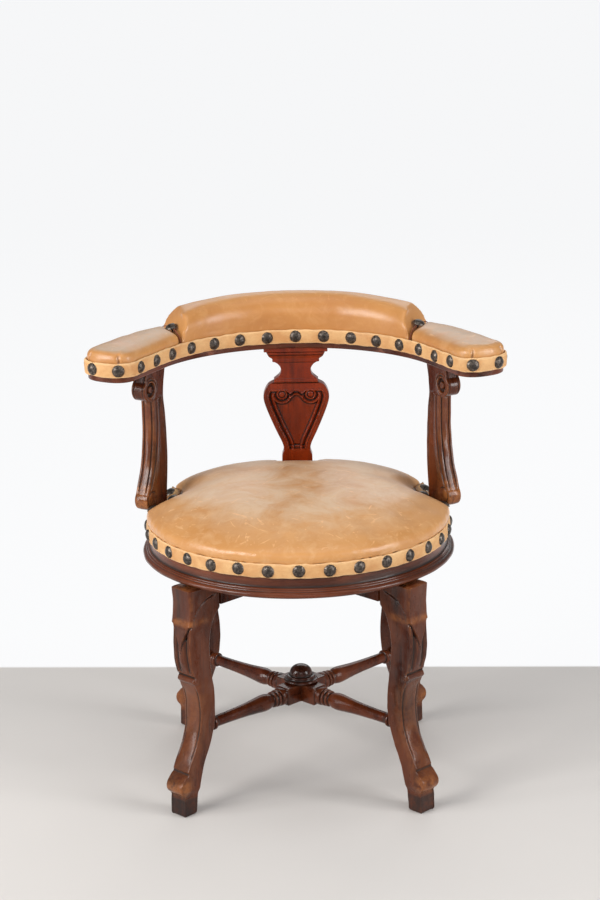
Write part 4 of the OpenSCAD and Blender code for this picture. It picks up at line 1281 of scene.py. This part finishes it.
def settle_cushion(co, normal):
    """Tucks the edge behind the band, presses the middle down a little, and pulls at the nails."""
    height = co[:, 2:]
    r = np.linalg.norm(co[:, :2], axis=1, keepdims=True)
    out = co[:, :2] / np.maximum(r, 1)
    shift = np.zeros_like(co)
    shift[:, :2] = np.where((r > 238) & (r < 246) & (height < 449), (245.2 - r) * out, 0)
    floor = FRAME_TOP + 0.7
    shift[:, 2:] = np.where((r < 243) & (height < floor), floor - height, 0)
    sit = 2.4 * bump(np.hypot(co[:, 0] + 20, co[:, 1] + 30), 190) * (co[:, 2] > 470)
    soft = wave(co, 110, 51) * 0.6 + wave(co, 46, 52) * 0.15
    shift[:, 2] += (soft - sit) * risen(co, 470, 490)
    angle = np.arctan2(co[:, 1], co[:, 0]) + math.pi / 2
    pull = np.cos(angle * SEAT_NAILS) * risen(co, 441, 446) * risen(co, 460, 448)
    shift[:, :2] -= (0.3 * pull)[:, None] * out * (r > 235)
    return shift


def build_cushion():
    theta = np.linspace(0, 2 * math.pi, 720, endpoint=False)
    way = np.stack([np.cos(theta), np.sin(theta)], 1)
    edge = cushion_edge(theta)
    underside = [(3, 454.5), (150, 454.5), (235, 445.3), (243, 444.8), (243, 437), (247, 437),
                 (247.8, 441), (250.5, 446)]  # radius, height
    insets = np.concatenate([[0, 0.6, 1.6, 3, 5, 7.5, 10.5, 14, 18, 23, 29, 36, 45, 56],
                             np.arange(70, 250, 16)])
    rings = [at_height(way * (r - (FREE_EDGE - edge) * step(r, 120, 236))[:, None], z)
             for r, z in underside]
    for inset in insets:
        r = np.maximum(edge - 4 - inset, 3.0)
        rings.append(at_height(way * r[:, None], cushion_top(r, edge, theta)))
    obj = start_object("seat_cushion", rings)
    inflate(obj, 6.0, 6.0, 444, 460)
    sculpt(obj, settle_cushion)
    finish_piece(obj, LEATHER, SEAT, ("seat_leather", "seat_stuffing"), "tan_leather", sharp=0)


PAD_EDGE = 709.0  # below this the trim band holds the pads
PAD_RINGS = [(697, 0.2), (711, 0.6), (716, 1.0)]  # height, growth of the outline


def pad_levels(top, side_top, growth, inset):
    """(height, growth of the outline) from the gimp up over the pad's rounded shoulder."""
    t = np.radians(np.linspace(0, 90, 12))
    rise = side_top + (top - side_top) * np.sin(t) ** 1.05
    grow = growth - (inset + growth) * (1 - np.cos(t) ** 0.9)
    return PAD_RINGS + list(zip(rise, grow))


def settle_arm_pad(side):
    """Makes the shift for one arm pad: two pleats at its tip and soft lumps."""
    def shift_of(co, normal):
        local = co[:, :2] * [side, 1] - on_arc(RAIL_RI, ARM_PHI)
        u, w = local @ ARM_DIR, local @ OUT_DIR
        shift = np.zeros_like(co)
        sloped = 0.5 * step(u, ARM_LEN - 25, ARM_LEN + TIP_LEN + 6)
        shift[:, 2] -= sloped * risen(co, 714, 730)
        front = step(u, ARM_LEN - 20, ARM_LEN + 4) * risen(co, PAD_EDGE, 713) * risen(co, 731, 722)
        for at in (-0.70, 0.62):
            line = w - TIP_W / 2 - at * (TIP_W / 2) * (1 - 0.10 * risen(co, 714, 732))
            pleat = bump(line + 2.0 * np.sin(u / 7), 2.6) * front
            shift -= normal * (3.4 * pleat)[:, None]
        soft = wave(co, 60, 71 + side) * 0.45 + wave(co, 22, 75 + side) * 0.08
        return shift + normal * (soft * risen(co, 714, 722))[:, None]
    return shift_of


def build_arm_pad(side, hand):
    rings = []
    for z, g in pad_levels(ARM_TOP - 1.5, 718, 1.2, 23.0):
        back = max(0.0, -g)
        held = 0.8 + back * 0.05
        line = arm_outline(SEAM_IN + held, SEAM_OUT + held, g, 30)
        along = (line - on_arc(RAIL_RI, ARM_PHI)) @ ARM_DIR
        blunt = back * 0.55 * step(along, ARM_LEN - 30, ARM_LEN + 8)
        rings.append(at_height((line + blunt[:, None] * ARM_DIR) * [side, 1], z))
    obj = start_object(hand + "_arm_pad", rings)
    inflate(obj, 4.0, 6.0, PAD_EDGE, 719)
    sculpt(obj, settle_arm_pad(side))
    nodes = (hand + "_arm_leather", hand + "_arm_stuffing")
    finish_piece(obj, ARM_LEATHER, SEAT, nodes, "tan_leather", sharp=0)


def settle_back_pad(co, normal):
    soft = wave(co, 90, 81) * 0.45 + wave(co, 34, 82) * 0.10
    return normal * (soft * risen(co, 714, 724))[:, None]


def build_back_pad():
    rings = []
    for z, g in pad_levels(BACK_TOP + 2.5, 738, 1.6, 21.0):
        up = step(z, 716, BACK_TOP)
        held = 0.7 + 3.2 * up + max(0.0, -g) * 0.04
        line = back_outline(SEAM_IN - held, SEAM_OUT - held, g, 60)
        phi = np.degrees(np.arctan2(np.abs(line[:, 0]), line[:, 1] - RAIL_CY))
        droop = 11.0 * (phi / 40) ** 2.4 * step(z, 720, BACK_TOP)
        rings.append(at_height(line, z - droop))
    obj = start_object("back_pad", rings)
    inflate(obj, 4.0, 7.0, PAD_EDGE, 721)
    sculpt(obj, settle_back_pad)
    finish_piece(obj, PAD_LEATHER, SEAT, ("back_leather", "back_stuffing"), "tan_leather", sharp=0)


def build_seams():
    """The red-brown welt where each arm pad meets the back pad."""
    parts = Parts()
    for side in (1, -1):
        path = []
        for s in np.linspace(0, 1, 40):
            phi = SEAM_IN + (SEAM_OUT - SEAM_IN) * s
            width = RAIL_RI + (rail_width_at(phi) + 2.0) * s - 2.0 * (1 - s)
            rise = 709 + 24.0 * (1 - abs(2 * s - 1) ** 4)
            path.append((*(on_arc(width, phi) * [side, 1]), rise))
        path = np.array(path)
        ahead = unit(np.gradient(path, axis=0))
        across = unit(np.cross(ahead, [0.3, 1.0, 0.2]))[:, None]
        third = np.cross(ahead, across[:, 0])[:, None]
        c, d = (x[None, :, None] for x in circle(10))
        parts.tube(path[:, None] + 0.8 * (c * across + d * third))
    parts.make("pad_seam_welts", CORD, SEAT, (), "tan_leather", sharp=0)


# ---- CAD parts kept as they are

def dress_cad_nodes():
    """Gives every CAD part that stays visible its finished material."""
    looks = {"crossbar": WOOD, "wedge": WOOD, "seat_rail": BEECH, "crest": BEECH, "dowel": BEECH,
             "socket": IRON, "spindle": IRON, "nut": IRON, "screw": STEEL, "washer": STEEL,
             "spring": STEEL, "stud": BRASS, "webbing": JUTE, "hessian": JUTE}
    for name in NODES:
        obj = bpy.data.objects.get(name)
        if obj is None or obj.type != "MESH":
            continue
        chosen = ([BEECH] + [look for word, look in looks.items() if word in name])[-1]
        for slot in obj.material_slots:
            slot.material = chosen
        if not obj.material_slots:
            obj.data.materials.append(chosen)


# ---- stage, light and camera

CAMERA_AT = (0.0048, -4.0916, 1.731)
CAMERA_PITCH, CAMERA_ROLL, CAMERA_LENS = 16.03, 0.95, 104.0
WHITE_FROM, WHITE_LEAN, WHITE_GLOW = 0.466, 0.042, 0.90


def floor_look():
    """A grey painted floor that turns white and bright behind the chair."""
    look = Look("studio_floor_paint")
    part = look.node("SeparateXYZ", {0: look.object})
    behind = look.plus(part.outputs[1], look.times(part.outputs[0], WHITE_LEAN))
    white = look.span(behind, WHITE_FROM - 0.004, WHITE_FROM + 0.004)
    tint = look.span(look.noise(look.object, 1.4, 4, 0.55), 0.3, 0.7)
    grey = look.mix(tint, (0.70, 0.665, 0.635), (0.665, 0.635, 0.61))
    look.feed(look.shader.inputs["Emission Color"], look.mix(white, (0, 0, 0), (0.985, 0.99, 1.0)))
    look.shader.inputs["Emission Strength"].default_value = WHITE_GLOW
    return look.done(look.mix(white, grey, (0.05, 0.05, 0.05)), 0.75)


def build_stage():
    x, near, far = 30000, -30000, 40000
    corners = [(-x, near, 0), (x, near, 0), (x, far, 0), (-x, far, 0)]
    obj = linked("studio_floor", new_mesh("studio_floor", corners, [(0, 1, 2, 3)]))
    obj.data.materials.append(floor_look())


def area_light(name, at, aim, size, power, colour=(1, 1, 1)):
    data = bpy.data.lights.new(name, "AREA")
    data.shape = "RECTANGLE"
    data.size, data.size_y = size
    data.energy = power
    data.color = colour
    obj = linked(name, data)
    obj.location = at
    obj.rotation_euler = (Vector(aim) - Vector(at)).to_track_quat("-Z", "Y").to_euler()


LIGHTS = (  # name, place, aim, size, power, and a colour where it is not white
    ("key", (-2.9, -2.3, 2.1), (0, 0, 0.45), (1.6, 1.8), 108, (1.0, 0.99, 0.97)),
    ("fill", (3.0, -2.0, 1.6), (0, 0, 0.4), (1.5, 2.0), 58, (0.98, 0.99, 1.0)),
    ("front", (0.2, -5.2, 2.4), (0, 0, 0.4), (2.6, 1.6), 30),
    ("left_strip", (-2.2, -0.7, 1.0), (0, 0, 0.5), (0.35, 1.6), 14),
    ("right_strip", (2.2, -0.9, 1.0), (0, 0, 0.5), (0.35, 1.6), 12),
    ("back", (0.4, 3.4, 2.3), (0, 0, 0.4), (2.4, 1.6), 22),
    ("top", (0.1, -0.6, 3.2), (0, 0.1, 0), (2.4, 1.6), 16))
SKY_COLOUR, SKY_POWER = (0.96, 0.98, 1.0, 1), 0.28


def build_light():
    for light in LIGHTS:
        area_light(*light)
    world = bpy.data.worlds.new("studio_air")
    world.use_nodes = True
    sky = world.node_tree.nodes["Background"]
    sky.inputs[0].default_value, sky.inputs[1].default_value = SKY_COLOUR, SKY_POWER
    bpy.context.scene.world = world


def build_camera():
    data = bpy.data.cameras.new("photo_camera")
    data.lens, data.sensor_width = CAMERA_LENS, 36.0
    pitch, roll = math.radians(CAMERA_PITCH), math.radians(CAMERA_ROLL)
    ahead = Vector((0, math.cos(pitch), -math.sin(pitch)))
    up, right = Vector((0, math.sin(pitch), math.cos(pitch))), Vector((1, 0, 0))
    rolled = (right * math.cos(roll) - up * math.sin(roll),
              up * math.cos(roll) + right * math.sin(roll), -ahead, Vector(CAMERA_AT))
    obj = linked("photo_camera", data)
    obj.matrix_world = Matrix([[v[k] for v in rolled] for k in range(3)] + [[0, 0, 0, 1]])
    bpy.context.scene.camera = obj


build_legs()
build_stretcher()
build_finial()
build_seat_ring()
build_supports()
build_splat()
build_rails()
build_bands()
build_notch_strips()
build_cushion()
for arm_side, arm_hand in ((1, "left"), (-1, "right")):
    build_arm_pad(arm_side, arm_hand)
build_back_pad()
build_seams()
dress_cad_nodes()
build_stage()
build_light()
build_camera()
bpy.context.scene.view_settings.view_transform = "Standard"
